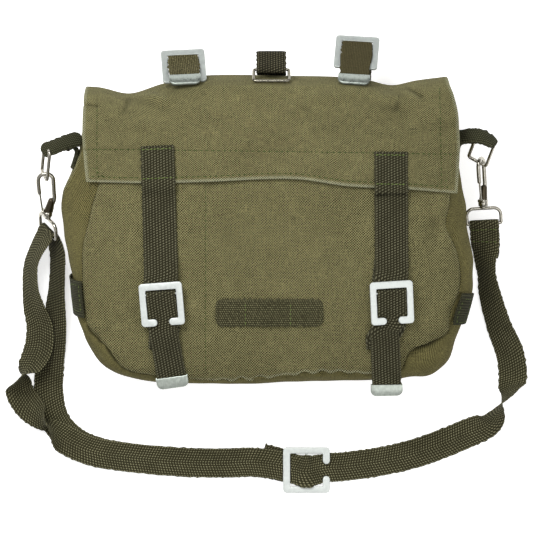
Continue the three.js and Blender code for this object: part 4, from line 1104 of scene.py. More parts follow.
def lathe(skin: Skin, profile: Sequence[Pair], axes: Axes, sides: int = 28) -> None:
    """Add a turned shape: each radius times the cosine and sine of the turn about the local Y axis.

    Args:
        skin: Surface to add to.
        profile: Pairs of height and radius.
        axes: Axes of the shape.
        sides: Number of sides.
    """
    rows = np.array(profile, dtype=float)
    angle = np.linspace(0, 2 * math.pi, sides, endpoint=False)
    local = join(rows[:, 1:] * np.cos(angle), rows[:, :1], rows[:, 1:] * np.sin(angle))
    spread = join(angle * 3, rows[:, :1])
    skin.grid(axes.out(local), spread, ring=True)


def ring_line(
    width: float, length: float, wire: float, corner: float, shoulder: float, steps: int = 10,
) -> Array:
    """Lay out a ring in the local XY plane: four quarter circles with straight runs between them.

    Args:
        width, length: Outer size.
        wire: Radius of the wire.
        corner, shoulder: Radii of the two lower and the two upper corners.
        steps: Steps in each corner.

    Returns:
        Points of the closed centre line.
    """
    half = np.array([width / 2 - wire, length / 2 - wire])
    corners, line = [], []
    for quarter, (sx, sy) in enumerate(((1, 1), (-1, 1), (-1, -1), (1, -1))):
        radius = shoulder if sy > 0 else corner
        angle = (quarter + np.linspace(0, 1, steps)) * math.pi / 2
        centre = np.array([sx, sy]) * (half - radius)
        corners.append(centre + radius * join(np.cos(angle), np.sin(angle)))
    for here, after in zip(corners, corners[1:] + corners[:1]):
        line += [here, np.linspace(here[-1], after[0], 9)[1:-1]]
    flat = np.vstack(line)
    keep = np.linalg.norm(flat - np.roll(flat, 1, axis=0), axis=1) > 1e-6
    return np.hstack([flat[keep], np.zeros((int(keep.sum()), 1))])


@dataclass(frozen=True)
class OpenFrame:
    """Open C frame of flat aluminium, with a closed bar, two lips and a round bar in its window."""

    width: float = 36.7
    length: float = 36.0
    bar: float = 6.0
    leg: float = 5.4
    thick: float = 2.2
    gap: float = 10.0
    corner: float = 3.0
    bar_radius: float = 1.0
    bevel: float = 0.55
    rounding: Table = ((1.0, 1.0), (0.45, 0.86), (0.12, 0.45), (0.0, 0.0))
    hoop_reach: float = 16.0
    sunk: float = 1.0
    inner_corner: float = 0.8

    def outline(self) -> Array:
        """Lay out the plate's edge.

        Returns:
            Points in the local XY plane, in order.
        """
        hx, hy, lip = self.width / 2, self.length / 2, self.gap / 2
        inner_x, inner_y, r = hx - self.leg, hy - self.bar, self.corner
        nose, small = self.bar / 2, self.inner_corner

        def arc(cx: float, cy: float, radius: float, start: float, end: float, steps: int = 7) -> Array:
            """Follow a round corner."""
            angle = np.radians(np.linspace(start, end, steps))
            return join(cx + radius * np.cos(angle), cy + radius * np.sin(angle))

        return np.vstack([
            arc(-lip - nose, -hy + nose, nose, 90, -90, 9),
            arc(-hx + r, -hy + r, r, -90, -180),
            arc(-hx + r, hy - r, r, 180, 90),
            arc(hx - r, hy - r, r, 90, 0),
            arc(hx - r, -hy + r, r, 0, -90),
            arc(lip + nose, -hy + nose, nose, -90, -270, 9),
            arc(inner_x - small, -inner_y + small, small, -90, 0, 4),
            arc(inner_x - small, inner_y - small, small, 0, 90, 4),
            arc(-inner_x + small, inner_y - small, small, 90, 180, 4),
            arc(-inner_x + small, -inner_y + small, small, 180, 270, 4),
        ])

    def build(self, name: str, axes: Axes, middle: float, rear: Pair | None = None) -> Piece:
        """Make the frame: its outline at several heights, drawn in by a round bevel towards both faces.

        Args:
            name: Name of the piece.
            axes: Axes of the frame, Y towards the closed bar.
            middle: Place of the round bar along Y.
            rear: Place along Y and drop of a second bar behind the plate.

        Returns:
            The frame.
        """
        edge = self.outline()
        along = np.roll(edge, -1, axis=0) - np.roll(edge, 1, axis=0)
        inward = unit(join(along[:, 1], -along[:, 0]))
        flank = self.thick / 2 - self.bevel
        local = np.stack([
            join(*(edge + inward * self.bevel * inset).T, face * (flank + self.bevel * rise))
            for face, profile in ((1, self.rounding), (-1, self.rounding[::-1])) for inset, rise in profile
        ])
        spread = local[..., :2] + join(0.0, local[..., 2])
        skin = Skin().grid(axes.out(local), spread, ring=True)
        half = self.width / 2 - self.leg + self.sunk
        tube(skin, axes.out(join(np.linspace(-half, half, 8), middle, 0.0)), self.bar_radius)
        if rear:
            (place, drop), reach = rear, self.hoop_reach
            hoop = curve_through(np.array([
                [-reach, place, 0], [-reach, place, -drop + 1], [-reach + 1, place, -drop], [0, place, -drop],
                [reach - 1, place, -drop], [reach, place, -drop + 1], [reach, place, 0],
            ]), np.linspace(0, 6, 40))
            tube(skin, axes.out(hoop), self.bar_radius)
        return skin.build(name, Slot.ALUMINIUM)


@dataclass(frozen=True)
class StrapTip:
    """Folded metal end of a strap, open towards the strap, with rounded outer corners."""

    width: float = 26.6
    length: float = 10.5
    thick: float = 3.2
    slot: float = 2.0
    floor: float = 1.6
    corner: float = 5.0
    lip: float = 0.3
    pinch: float = 0.35

    @property
    def insert(self) -> float:
        """How far a strap goes into the tip."""
        return self.length - self.floor - GAP

    def build(self, name: str, at: Array, along: Array, across: Array) -> None:
        """Make the tip: a folded section carried across, cut back and pinched towards the outer corners.

        Args:
            name: Name of the piece.
            at: Middle of its open end.
            along: Direction from the open end to the closed one.
            across: Direction of its width.
        """
        x = unit(along)
        z = square_to(across, x)
        axes = Axes(x, np.cross(z, x), z, at)
        half, slot = self.thick / 2, self.slot / 2
        bend = np.radians(np.linspace(-90, 90, 11))
        nose = join(self.length - half + half * np.cos(bend), half * np.sin(bend))
        lip, end = self.lip, self.length - self.floor
        inside = np.array([
            [lip, half], [0.0, half - lip], [0.0, slot], [end, slot],
            [end, -slot], [0.0, -slot], [0.0, -half + lip], [lip, -half],
        ])
        section = np.vstack([nose, inside])
        a = np.sin(np.linspace(-math.pi / 2, math.pi / 2, 33)) * self.width / 2
        over = np.clip((np.abs(a) - self.width / 2 + self.corner) / self.corner, 0, 1)
        cut = self.corner * (1 - np.sqrt(np.clip(1 - over**2, 0, 1)))
        deep = np.clip(section[:, 0] / self.length, 0, 1) ** 3
        local = np.empty((len(a), len(section), 3))
        local[..., 0] = section[None, :, 0] - cut[:, None] * deep[None]
        pinch = 1 - self.pinch * over[:, None] ** 3 * deep[None]
        local[..., 1] = section[None, :, 1] * pinch
        local[..., 2] = a[:, None]
        spread = join(a[:, None], local[..., 0] + local[..., 1])
        Skin().grid(axes.out(local), spread, ring=True).build(name, Slot.ALUMINIUM)


@dataclass
class Stitching:
    """Thread of one sewn piece: short stitches along lines."""

    length: float = 2.6
    gap: float = 1.1
    thick: float = 0.62
    seed: int = 5
    uneven: float = 0.12
    slant: float = 0.05
    sides: int = 7
    lines: list[tuple[Array, Array]] = field(default_factory=list)

    def along(self, points: Array, normal: Array) -> None:
        """Sew along a line with outward directions."""
        self.lines.append((points, normal))

    def build(self, name: str) -> None:
        """Make the stitches, each a thin spindle that sags between its ends.

        Args:
            name: Name of the piece.
        """
        rng = np.random.default_rng(self.seed)
        rows = []
        for points, normal in self.lines:
            run = run_length(points)
            at = np.arange(self.length / 2, run[-1] - self.length / 2, self.length + self.gap)
            at = at + rng.normal(scale=self.uneven, size=len(at))
            rows.append(read_along(run, np.hstack([points, tangents(points), normal]), at))
        centre, run, lift = np.split(np.vstack(rows), 3, axis=1)
        run, lift = unit(run), unit(lift)
        side = unit(np.cross(lift, run) + rng.normal(scale=self.slant, size=run.shape))
        s = np.linspace(-1, 1, self.sides)
        angle = np.linspace(0, 2 * math.pi, self.sides, endpoint=False)
        fat = np.sqrt(np.clip(1 - s**2 * 0.995, 0, 1))[:, None]
        shape = join(s[:, None], fat * np.cos(angle), fat * np.sin(angle))
        sag = 0.5 * (1 - s**2)[:, None] - 0.1
        points = (
            centre[:, None, None]
            + run[:, None, None] * (shape[..., 0] * self.length / 2)[None, ..., None]
            + side[:, None, None] * (shape[..., 1] * self.thick / 2)[None, ..., None]
            + lift[:, None, None] * (shape[..., 2] * self.thick / 2 + sag * self.thick * 0.5)[None, ..., None]
        )
        skin = Skin()
        for number, stitch in enumerate(points):
            skin.grid(stitch, join(s[:, None], np.full(len(angle), 3.0 * number)), ring=True)
        skin.build(name, Slot.WEBBING, extra=True)


def rows_over(ground: Height, x: Array, y: Array, height: Number, turn: Number) -> Rows:
    """Lay strap rows at a height over the ground.

    Args:
        ground: Height of the ground at a place.
        x, y: Places on the bag.
        height: Heights of the strap's middle over the ground.
        turn: Direction of the strap's width in degrees, 0 to the right.

    Returns:
        The rows.
    """
    x, y, height, turn = (np.atleast_1d(v).astype(float) for v in np.broadcast_arrays(x, y, height, turn))
    cos, sin = np.cos(np.radians(turn)), np.sin(np.radians(turn))
    reach = NARROW_WEB / 2
    right = ground(x + cos * reach, y + sin * reach)
    left = ground(x - cos * reach, y - sin * reach)
    across = unit(join(cos, sin, (right - left) / (2 * reach)))
    return Rows(join(x, y, ground(x, y) + height), across)


@dataclass
class Fastening:
    """Front fastening: a wide strap from the flap and a narrow one from the front, joined by a frame."""

    side: Side
    x: float
    y: float
    turn: float
    top: Pair
    low_x: float
    anchor_x: float
    tip: Pair
    tip_turn: float
    lift: float = 7.7
    level_reach: float = 22.0
    middle: float = 8.2
    rear: Pair = (15.0, 4.1)
    sewn_at: Pair = (3.0, 27.5)
    flap_path: Table = (
        (-90, 2.4), (-75, 1.8), (-55, 1.8), (-44, 2.6), (-34, 3.8), (-26, 4.9), (-19, 5.55), (-15, 5.6),
        (-13.4, 4.8), (-13, 3.6), (-13.4, 2.4), (-15, 1.6), (-20, 1.3), (-38, 1.2),
    )
    anchor_path: Table = (
        (38, 1.2), (30, 1.2), (20, 1.3), (8, 1.8), (-2, 3.6), (-9, 5.9), (-10.2, 7.7), (-9.4, 9.3),
        (-8.2, 9.7), (-6.6, 9.3), (0, 8.3), (7, 6.6), (13, 5.4),
    )
    low_path: Table = ((22, 4.4), (32, 3.4), (46, 3.2))

    def ground(self, x: Array, y: Array) -> Array:
        """Read the ground under the fastening, level under the frame.

        Args:
            x, y: Places on the bag.

        Returns:
            Heights.
        """
        cx, cy = np.array(self.x), np.array(self.y)
        slope_x = (BODY.front(cx + 1, cy) - BODY.front(cx - 1, cy)) / 2
        slope_y = (BODY.front(cx, cy + 1) - BODY.front(cx, cy - 1)) / 2
        plane = BODY.front(cx, cy) + slope_x * (x - cx) + slope_y * (y - cy)
        share = ease(np.abs(y - cy), self.level_reach, 2 * self.level_reach)
        return plane + (BODY.front(x, y) - plane) * share

    @property
    def axes(self) -> Axes:
        """Find the axes of the frame.

        Returns:
            The axes, Z square to the ground.
        """
        x, y = np.array(self.x), np.array(self.y)
        normal = vec(
            float(self.ground(x - 1, y) - self.ground(x + 1, y)),
            float(self.ground(x, y - 1) - self.ground(x, y + 1)), 2,
        )
        along = turned(vec(1, 0, 0), vec(0, 0, 1), self.turn)
        return Axes.on(along, normal, vec(self.x, self.y, float(self.ground(x, y)) + self.lift))

    def rows(self, path: Sequence[Pair], free: Callable[[float, float], Rows]) -> list[Rows]:
        """Lay rows of a path, square to the frame close to it.

        Args:
            path: Pairs of distance below the frame's centre and height over the ground.
            free: Makes a row away from the frame from such a pair.

        Returns:
            One set of rows for each pair.
        """
        axes = self.axes
        made = []
        for below, height in path:
            if abs(below) <= self.level_reach:
                made.append(Rows(axes.out(vec(0, -below, height - self.lift))[None], axes.x[None]))
            else:
                made.append(free(below, height))
        return made

    def flap_strap(self) -> Ribbon:
        """Lay out the wide strap.

        Returns:
            The strap.
        """
        top_x, top_y = self.top

        def strap_x(below: float) -> float:
            """Find the strap's place across."""
            return self.x + (top_x - self.x) * below / (self.y - top_y)

        hem = self.y - float(graph_through(FLAP.hem, self.x)) + 3
        on_flap = FLAP_LIFT + FLAP_WALL + GAP + WEB
        belows = np.linspace(self.y - top_y, hem, 4)
        start = rows_over(BODY.front, strap_x(belows), self.y - belows, on_flap, 0)

        def free(below: float, height: float) -> Rows:
            """Lay a row between the flap and the frame."""
            lean = self.turn * float(ease(below, self.flap_path[0][0], -self.level_reach))
            return rows_over(self.ground, strap_x(below), self.y - below, height, lean)

        return Ribbon(start.then(*self.rows(self.flap_path, free)), WIDE_WEB, seed=31 + len(self.side.value))

    def pull_strap(self) -> tuple[Ribbon, Array, Array, Array]:
        """Lay out the narrow strap.

        Returns:
            The strap, the place of its tip, and the directions along and across it.
        """
        def anchored(below: float, height: float) -> Rows:
            """Lay a row at the sewn end."""
            x = self.x + (self.anchor_x - self.x) * min(below / self.level_reach, 1)
            return rows_over(self.ground, x, self.y - below, height, self.turn)

        tip_below = self.y - self.tip[1]

        def hanging(below: float, height: float) -> Rows:
            """Lay a row of the loose end.

            Args:
                below: Distance below the frame's centre.
                height: Height over the ground.

            Returns:
                The row.
            """
            share = (below - self.level_reach) / (tip_below - self.level_reach)
            x = self.low_x + (self.tip[0] - self.low_x) * share
            turn = self.turn + (self.tip_turn - self.turn) * share
            return rows_over(self.ground, x, self.y - below, height, turn)

        upper = self.rows(self.anchor_path, anchored)
        lower = [hanging(*row) for row in self.low_path]
        end = rows_over(self.ground, self.tip[0], self.tip[1], self.low_path[-1][1], self.tip_turn)
        across = end.across[0]
        along = unit(end.at[0] - lower[-1].at[0])
        along = square_to(along, across)
        last = Rows(end.at + along * StrapTip().insert, end.across)
        rows = upper[0].then(*upper[1:], *lower, end, last)
        return Ribbon(rows, seed=41 + len(self.side.value)), end.at[0], along, across

    def build(self) -> None:
        """Make the fastening."""
        side = self.side.value
        OpenFrame().build(f"front_frame_{side}_plate", self.axes, self.middle, self.rear)
        strap, at, along, across = self.pull_strap()
        StrapTip().build(f"front_tip_{side}_plate", at, along, across)
        wide = self.flap_strap()
        thread = Stitching(2.4, 0.8, 0.9, seed=len(side))
        for run in self.sewn_at:
            thread.along(*wide.seam(run))
        wide.build(f"flap_strap_{side}_web")
        strap.build(f"pull_strap_{side}_web")
        thread.build(f"flap_strap_{side}_thread")


@dataclass
class Keeper:
    """Horizontal strip sewn on the front, raised between its two rows of stitches."""

    start: float = -42.0
    end: float = 47.7
    y: float = -64.0
    width: float = 23.5
    lift: float = 0.6
    arch: float = 1.6
    stitches: Pair = (-16.8, 21.0)

    def build(self) -> None:
        """Make the strip and its stitches."""
        x = np.linspace(self.start, self.end, 15)
        between = plateau(x, self.stitches[0], 0, 0, self.stitches[1])
        rows = rows_over(BODY.front, x, self.y, self.lift + WEB / 2 + self.arch * between, 90)
        strip = Ribbon(rows, self.width, seed=51, fray=0.5, corner=6.0)
        thread = Stitching(seed=9)
        for place in self.stitches:
            thread.along(*strip.seam(place - self.start))
        strip.build("keeper_loop_web")
        thread.build("keeper_loop_thread")


def tab_root(x: float, seat: float = 0.0) -> Rows:
    """Lay the root of a tab on the flap's top side.

    Args:
        x: Place across the bag.
        seat: How far the root is pressed into the flap's edge.

    Returns:
        The rows.
    """
    left, right = (float(graph_through(FLAP.reach, x + k * NARROW_WEB / 2)) for k in (-1, 1))
    reach = max((left + right) / 2, float(graph_through(FLAP.reach, x))) - seat
    rows = np.array([[x, reach + out, height] for out, height in TAB_ROOT])
    return Rows(rows, np.broadcast_to(unit(vec(NARROW_WEB, right - left, 0)), rows.shape))


@dataclass
class TopTab:
    """Tab at the top edge, threaded through a frame and ending in a metal tip."""

    side: Side
    centre: Triple
    turn: float
    tip_at: float
    tip_lift: float
    seat: float
    tilt: float = 40.0
    middle: float = 9.0
    tip_height: float = 3.2
    path: Table = (
        (-10.6, -6), (-11, 0), (-10.4, 1.5), (-9, 2.05), (-7, 2.1), (0, 2.5),
    )

    def build(self) -> None:
        """Make the tab, its frame and its tip."""
        side = self.side.value
        tilt = math.radians(self.tilt)
        normal = vec(0, math.sin(tilt), math.cos(tilt))
        axes = Axes.on(turned(vec(1, 0, 0), normal, self.turn), normal, vec(*self.centre))
        OpenFrame().build(f"top_frame_{side}_plate", axes, self.middle)
        tip = StrapTip()
        ends = (self.tip_at - 2, self.tip_at, self.tip_at + tip.insert)
        path = [*self.path, *((below, self.tip_height + self.tip_lift) for below in ends)]
        points = axes.out(np.array([[0, -below, height] for below, height in path]))
        rows = tab_root(self.centre[0], self.seat).then(Rows(points, np.broadcast_to(axes.x, points.shape)))
        tip.build(f"top_tip_{side}_plate", points[-2], points[-1] - points[-2], axes.x)
        tab = Ribbon(rows, seed=61 + len(side), fray=0.32)
        tab.bulge = (tab.run_at(axes.out(vec(0, -2, 2.4))), 9.0, 2.2)
        tab.build(f"top_tab_{side}_web")


@dataclass
class CentreTab:
    """Short folded tab at the top that holds a wire ring."""

    x: float = 4.5
    path: Table = (
        (140, 55), (147, 60), (152, 63.5), (154.2, 67), (152.5, 70.5), (147, 74), (142, 77.2), (139, 78.35),
        (137.2, 77.5), (136.65, 76), (137.2, 74.5), (139, 73.65), (145, 71),
    )
    bar: Pair = (139.0, 76.0)
    ring: Span = (32.0, 16.3, 1.3, 1.8)
    rise: float = 45.0

    def build(self) -> None:
        """Make the tab and its ring."""
        points = np.array([[self.x, y, z] for y, z in self.path])
        rows = tab_root(self.x).then(Rows(points, np.broadcast_to(vec(1, 0, 0), points.shape)))
        width, length, wire, corner = self.ring
        rise = math.radians(self.rise)
        reach = length / 2 - wire
        up = vec(0, math.cos(rise), -math.sin(rise))
        origin = vec(self.x, self.bar[0] - reach * math.cos(rise), self.bar[1] + reach * math.sin(rise))
        axes = Axes(vec(1, 0, 0), up, np.cross(vec(1, 0, 0), up), origin)
        line = axes.out(ring_line(width, length, wire, corner, corner))
        tube(Skin(), line, wire, loop=True).build("centre_ring_wire", Slot.NICKEL)
        Ribbon(rows, seed=71).build("centre_tab_web")


@dataclass
class Carrier:
    """Side loop with its ring, snap hook, gate and swivel eye."""

    side: Side
    ring_top: Array
    ring_down: Array
    ring_bar: Array
    hook_up: Array
    gate_side: Array
    eye_wide: Array
    hang: float
    sleeve: Array
    leg: Array
    ring: Span = (20.0, 30.0, 1.5, 2.2)
    sleeve_web: Pair = (14.4, 6.4)
    leg_web: Pair = (12.0, 4.0)
    hook_on_ring: float = 34.7
    wire: float = 2.0
    arch: float = 6.3
    arch_at: float = 32.5
    nose_at: float = 20.0
    shank: Table = ((-2.9, 2.0), (-3.6, 5.0), (-4.4, 9.0))
    straight: Pair = (14.0, 22.0)
    pin: Triple = (3.6, 2.6, 2.2)
    pin_radius: float = 1.5
    grip: Table = ((-0.6, 2.2), (-3.9, 12.5))
    grip_radii: Pair = (3.5, 2.7)
    gate_ends: Table = ((4.2, 3.2), (5.5, 19.6))
    gate_radius: float = 0.85
    eye: tuple[float, float, float, float, float] = (31.8, 16.5, 1.5, 1.2, 6.0)
    neck: float = 3.4
    barrel_half: float = 2.6
    tail: float = 30.0
    twist: float = 40.0

    def __post_init__(self) -> None:
        """Square the directions to each other and find the places of the barrel and the eye's bar."""
        self.down = unit(self.ring_down)
        self.bar = square_to(self.ring_bar, self.down)
        self.up = unit(self.hook_up)
        self.gate = square_to(self.gate_side, self.up)
        self.wide = square_to(self.eye_wide, self.up)
        low = self.ring_top + self.down * (self.ring[1] - 2 * self.ring[2]) + self.bar * self.hang
        self.barrel = low - self.up * self.hook_on_ring
        self.eye_bar = self.barrel - self.up * (self.neck + self.eye[1] - self.eye[2])
        self.eye_normal = np.cross(self.wide, self.up)

    def loop(self) -> Skin:
        """Lay out the webbing loop, folded lengthwise round the ring's bar, with its sewn leg.

        Returns:
            The loop's surface.
        """
        skin = Skin()
        seed = 81 + len(self.side.value)
        webs = ((self.sleeve, self.sleeve_web, 4.8), (self.leg, self.leg_web, 0.0))
        for rows, (width, thick), corner in webs:
            line = Rows(rows[:, :3], rows[:, 3:])
            Ribbon(line, width, 12, 21, seed, fray=0.3, thick=thick, corner=corner, belly=2.6).skin(skin)
        return skin

    def round_eye(self, angles: Sequence[float]) -> Rows:
        """Lay strap rows round the eye's bar.

        Args:
            angles: Degrees from the hook's side.

        Returns:
            The rows.
        """
        angle = np.radians(np.array(angles, dtype=float))[:, None]
        radius = self.eye[2] + WRAP_GAP + WEB / 2
        at = self.eye_bar + radius * (self.up * np.cos(angle) + self.eye_normal * np.sin(angle))
        return Rows(at, np.broadcast_to(self.wide, at.shape))

    def beside_eye(self, below: float, off: float) -> Rows:
        """Lay one strap row next to the eye.

        Args:
            below: Distance from the eye's bar away from the hook.
            off: Distance from the eye's plane.

        Returns:
            The row.
        """
        turn = math.radians(self.twist) * (below / self.tail) ** 2
        across = self.wide * math.cos(turn) + self.eye_normal * math.sin(turn)
        out = self.eye_normal * math.cos(turn) - self.wide * math.sin(turn)
        return Rows((self.eye_bar - self.up * below + out * off)[None], across[None])

    def build(self) -> None:
        """Make the carrier."""
        side = self.side.value
        width, length, wire, corner = self.ring
        centre = self.ring_top + self.down * (length / 2 - wire)
        axes = Axes(self.bar, -self.down, np.cross(self.bar, -self.down), centre)
        line = axes.out(ring_line(width, length, wire, corner, corner))
        tube(Skin(), line, wire, loop=True).build(f"side_ring_{side}_wire", Slot.NICKEL)
        self.build_hook()
        self.build_eye()
        self.loop().build(f"side_loop_{side}_web", Slot.WEBBING)

    def build_hook(self) -> None:
        """Make the snap hook and its gate."""
        side = self.side.value
        axes = Axes(self.gate, self.up, np.cross(self.gate, self.up), self.barrel)
        r = self.arch
        angle = np.radians(np.linspace(180, 0, 13))
        bow = join(r * np.cos(angle), self.arch_at + r * np.sin(angle), 0.0)
        line = np.vstack([
            flat_line(self.shank), flat_line([(-r, y) for y in self.straight]), bow,
            flat_line([(r, (self.arch_at + self.nose_at) / 2), (r - 0.4, self.nose_at)]),
        ])
        fine = curve_through(line, np.linspace(0, len(line) - 1, 110))
        run = np.linspace(0, 1, 110)
        skin = tube(Skin(), axes.out(fine), self.wire * (1 - 0.1 * ease(run, 0.05, 0.2)))
        x, y, half = self.pin
        tube(skin, axes.out(np.linspace([x, y, -half], [x, y, half], 6)), self.pin_radius)
        half = self.barrel_half
        rim = [(-half, 3.7), (-half + 0.5, 4.2), (half - 0.5, 4.2), (half, 3.7)]
        lathe(skin, [(-half, 1.8), *rim, (half, 1.8), (-half, 1.8)], axes)
        skin.build(f"hook_{side}_metal", Slot.NICKEL, f"hook_{side}")
        grip = axes.out(np.linspace(*flat_line(self.grip), 12))
        body = tube(Skin(), grip, np.linspace(*self.grip_radii, 12))
        body.build(f"hook_{side}_body", Slot.NICKEL, f"hook_{side}", extra=True)
        gate = axes.out(np.linspace(*flat_line(self.gate_ends), 16))
        tube(Skin(), gate, self.gate_radius).build(f"gate_{side}_metal", Slot.NICKEL, f"gate_{side}")

    def build_eye(self) -> None:
        """Make the swivel eye."""
        side = self.side.value
        width, length, wire, corner, shoulder = self.eye
        axes = Axes(self.wide, self.up, np.cross(self.wide, self.up), self.barrel)
        line = ring_line(width, length, wire, corner, shoulder) - vec(0, self.neck + length / 2, 0)
        skin = tube(Skin(), axes.out(line), wire, loop=True)
        foot = self.barrel_half + GAP
        low = -self.neck - wire
        lathe(skin, [
            (low, 0.2), (low, 2.2), (low + 0.6, 2.8), (-foot, 2.8), (-foot, 1.4), (foot, 1.4), (foot, 2.5),
            (foot + 0.7, 2.6), (foot + 1.2, 1.6), (foot + 1.3, 0.1),
        ], axes)
        skin.build(f"swivel_eye_{side}_wire", Slot.NICKEL)


@dataclass
class GussetTab:
    """Flat webbing tab sewn low on the gusset."""

    side: Side
    start: float
    end: float
    slant: float = 0.0
    across: int = 40
    deep: int = 60
    back: float = 0.18
    front: float = 0.92
    lift: float = 0.5

    def build(self) -> None:
        """Make the tab: a wall between two surfaces that follow the gusset."""
        places = np.linspace(self.start, self.end, self.across)
        depth = np.linspace(self.back, self.front, self.deep)
        outer, inner = (
            np.stack([BODY.gusset(places + self.slant * d, np.array([d]), out)[:, 0] for d in depth], axis=1)
            for out in (self.lift + WEB, self.lift)
        )
        middle = outer[:, self.deep // 2]
        run = np.linalg.norm(middle[-1] - middle[0]) * np.linspace(0, 1, self.across)
        spread = join(run[:, None], depth * 80)
        edge = np.minimum(run, run[-1] - run)[:, None] + np.zeros((1, self.deep))
        # Colour value: pale frayed edges, and painted shade over the whole tab.
        skin = Skin().wall(outer, inner, spread, 0.4 * bell(edge, 0, 1.5) - 0.25)
        side = self.side.value
        normal = surface_normals(outer)
        normal = normal * np.sign(np.sum(normal * (outer - inner)))
        thread = Stitching(2.4, 1.4, 0.4, seed=21 + len(side))
        for pick in (np.s_[5:35, 56], np.s_[5:35, 38], np.s_[5, 38:57], np.s_[34, 38:57]):
            thread.along(outer[pick], normal[pick])
        thread.build(f"gusset_tab_{side}_thread")
        skin.build(f"gusset_tab_{side}_web", Slot.WEBBING)


FRONT_RUN: Run = (
    (186.4, -33, 12, 52), (188.6, -47, 11.5, 43), (196.6, -74.8, 9.5, 33), (206.6, -100.8, 6, 15),
    (208.5, -121, 6, 15), (205, -131, 12.5, 60), (199.5, -140.3, 14, 90), (194.5, -149.5, 12.5, 122),
    (187, -159, 6, 158),
    (171.4, -166.3, 2, 176), (140.3, -178.9, 1.1, 180), (115.9, -186.5, 1.1, 180), (84.8, -192.4, 1.1, 180),
    (64, -195, 1.8, 180), (52.2, -195.7, 4.2, 180), (45.7, -196.8, 4.7, 180), (41.2, -197.6, 7, 180),
    (37.2, -198.4, 10.1, 180), (34.2, -198.6, 10.9, 180), (30.2, -198.4, 9.7, 180), (26.2, -197.4, 6.9, 180),
    (21.4, -196.6, 4.55, 180), (15.7, -194.6, 4.6, 180), (6.2, -192.8, 4.5, 180), (-4, -191.5, 4.5, 180),
    (-14, -191, 3.6, 180), (-34.4, -191.8, 2.9, 180), (-66.4, -191.3, 2.9, 180), (-114.2, -187.3, 2.9, 180),
    (-147, -182, 2.9, 180), (-169, -172.5, 5, 188), (-179, -165, 12, 228), (-185, -159, 16.5, 272),
    (-191, -152.5, 12, 325), (-202, -142, 5.5, 358), (-208.5, -129.5, 8, 376), (-206, -118.5, 14.5, 445),
    (-199.5, -110, 12, 505), (-192.5, -95, 7, 530), (-191.2, -77, 8, 518), (-195.5, -61, 12, 500),
    (-198.6, -45, 14.5, 485), (-197.8, -22, 17, 480),
)
BACK_RUN: Run = (
    (-176.2, -13.5, 16.5, 56), (-176, -28, 14.5, 57), (-176.8, -45.4, 13.5, 54), (-179, -79, 8, 30),
    (-183, -110, 2.2, 5), (-183.5, -135, 1.1, 0), (-178, -156, 1.1, 0), (-164, -172, 1.1, 0),
    (-146, -181, 1.1, 0),
    (-114.2, -187.3, 1.1, 0), (-66.4, -191.3, 1.1, 0), (-34.4, -191.8, 1.1, 0), (-8, -191.5, 1.1, 0),
    (9.2, -194, 1.1, 0), (20.2, -196.6, 1.15, 0), (29.2, -197.6, 2.9, 0), (33.4, -197.6, 5.25, 0),
    (35.6, -197.6, 5.75, 0), (36.2, -197.6, 7.2, 0), (35.6, -197.6, 8.6, 0), (34.2, -197.6, 9.2, 0),
    (32.7, -197.6, 8.8, 0), (30.2, -197.5, 7.2, 0), (26.2, -197, 4.15, 0), (22.2, -196, 2.85, 0),
    (14.2, -192.5, 2.7, 0), (-3.8, -187, 2.8, 0),
)


def run_rows(run: Run) -> Rows:
    """Lay strap rows from a run's table, the width level and square to the run, then rolled about it.

    Args:
        run: Rows of place and roll.

    Returns:
        The rows.
    """
    table = np.array(run, dtype=float)
    at = table[:, :3]
    places = np.arange(len(at), dtype=float)
    along = heading(at, places)
    level = unit(join(-along[:, 1], along[:, 0], 0.0))
    return Rows(at, turned(level, along, table[:, 3]))


@dataclass
class ShoulderStrap:
    """Long strap laid round the bag in two lengths that meet in an open frame."""

    left: Carrier
    right: Carrier
    frame: Triple = (34.2, -197.6, 7.2)
    sewn_at: Pair = (4.9, 15.2)
    tail_shares: Triple = (1.0, 0.65, 0.33)

    def front(self) -> Ribbon:
        """Lay out the length from the right eye through the frame to the left eye.

        Returns:
            The strap.
        """
        layer = WEB / 2 + GAP
        eye = self.right
        belows = [eye.tail * share for share in self.tail_shares]
        tail = [eye.beside_eye(below, -layer - 0.2) for below in belows]
        strap = [eye.beside_eye(below, layer + 0.3) for below in belows[::-1]]
        rows = tail[0].then(
            *tail[1:], eye.round_eye([-90, -45, 0, 45, 90]), *strap,
            run_rows(FRONT_RUN), self.left.round_eye([90, 45, 12, 0]),
        )
        strap = Ribbon(rows, seed=91, steps=12, shade=(150, 240, 0.28))
        strap.bulge = (strap.run_at(vec(*self.frame) + vec(0, -1, 3.7)), 7.0, 3.4)
        return strap

    def back(self) -> Ribbon:
        """Lay out the length from the left eye to the frame."""
        rows = self.left.round_eye([-18, -30, -60, -95]).then(run_rows(BACK_RUN))
        return Ribbon(rows, seed=95, steps=12, shade=(110, 190, 0.4))

    def build(self) -> None:
        """Make both lengths and their frame."""
        axes = Axes(vec(0, 1, 0), vec(-1, 0, 0), vec(0, 0, 1), vec(*self.frame))
        plate = OpenFrame(width=38.6, length=39.6).build("strap_frame_plate", axes, 0.0)
        lengths = ((self.front(), "shoulder_strap_front", [plate]), (self.back(), "shoulder_strap_back", []))
        for ribbon, node, pieces in lengths:
            trace = ribbon.trace()
            strap = ribbon.build(f"{node}_web")
            length = float(trace.run[-1]) * MM
            path = (trace.centre * MM).tolist()
            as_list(pieces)
            LOG.info("%s is %.3f m long", node, length)
        thread = Stitching(seed=23)
        front = self.front()
        for below in self.sewn_at:
            thread.along(*front.seam(front.run_at(self.right.beside_eye(below, 3.0).at[0])))
        thread.build("strap_end_thread")


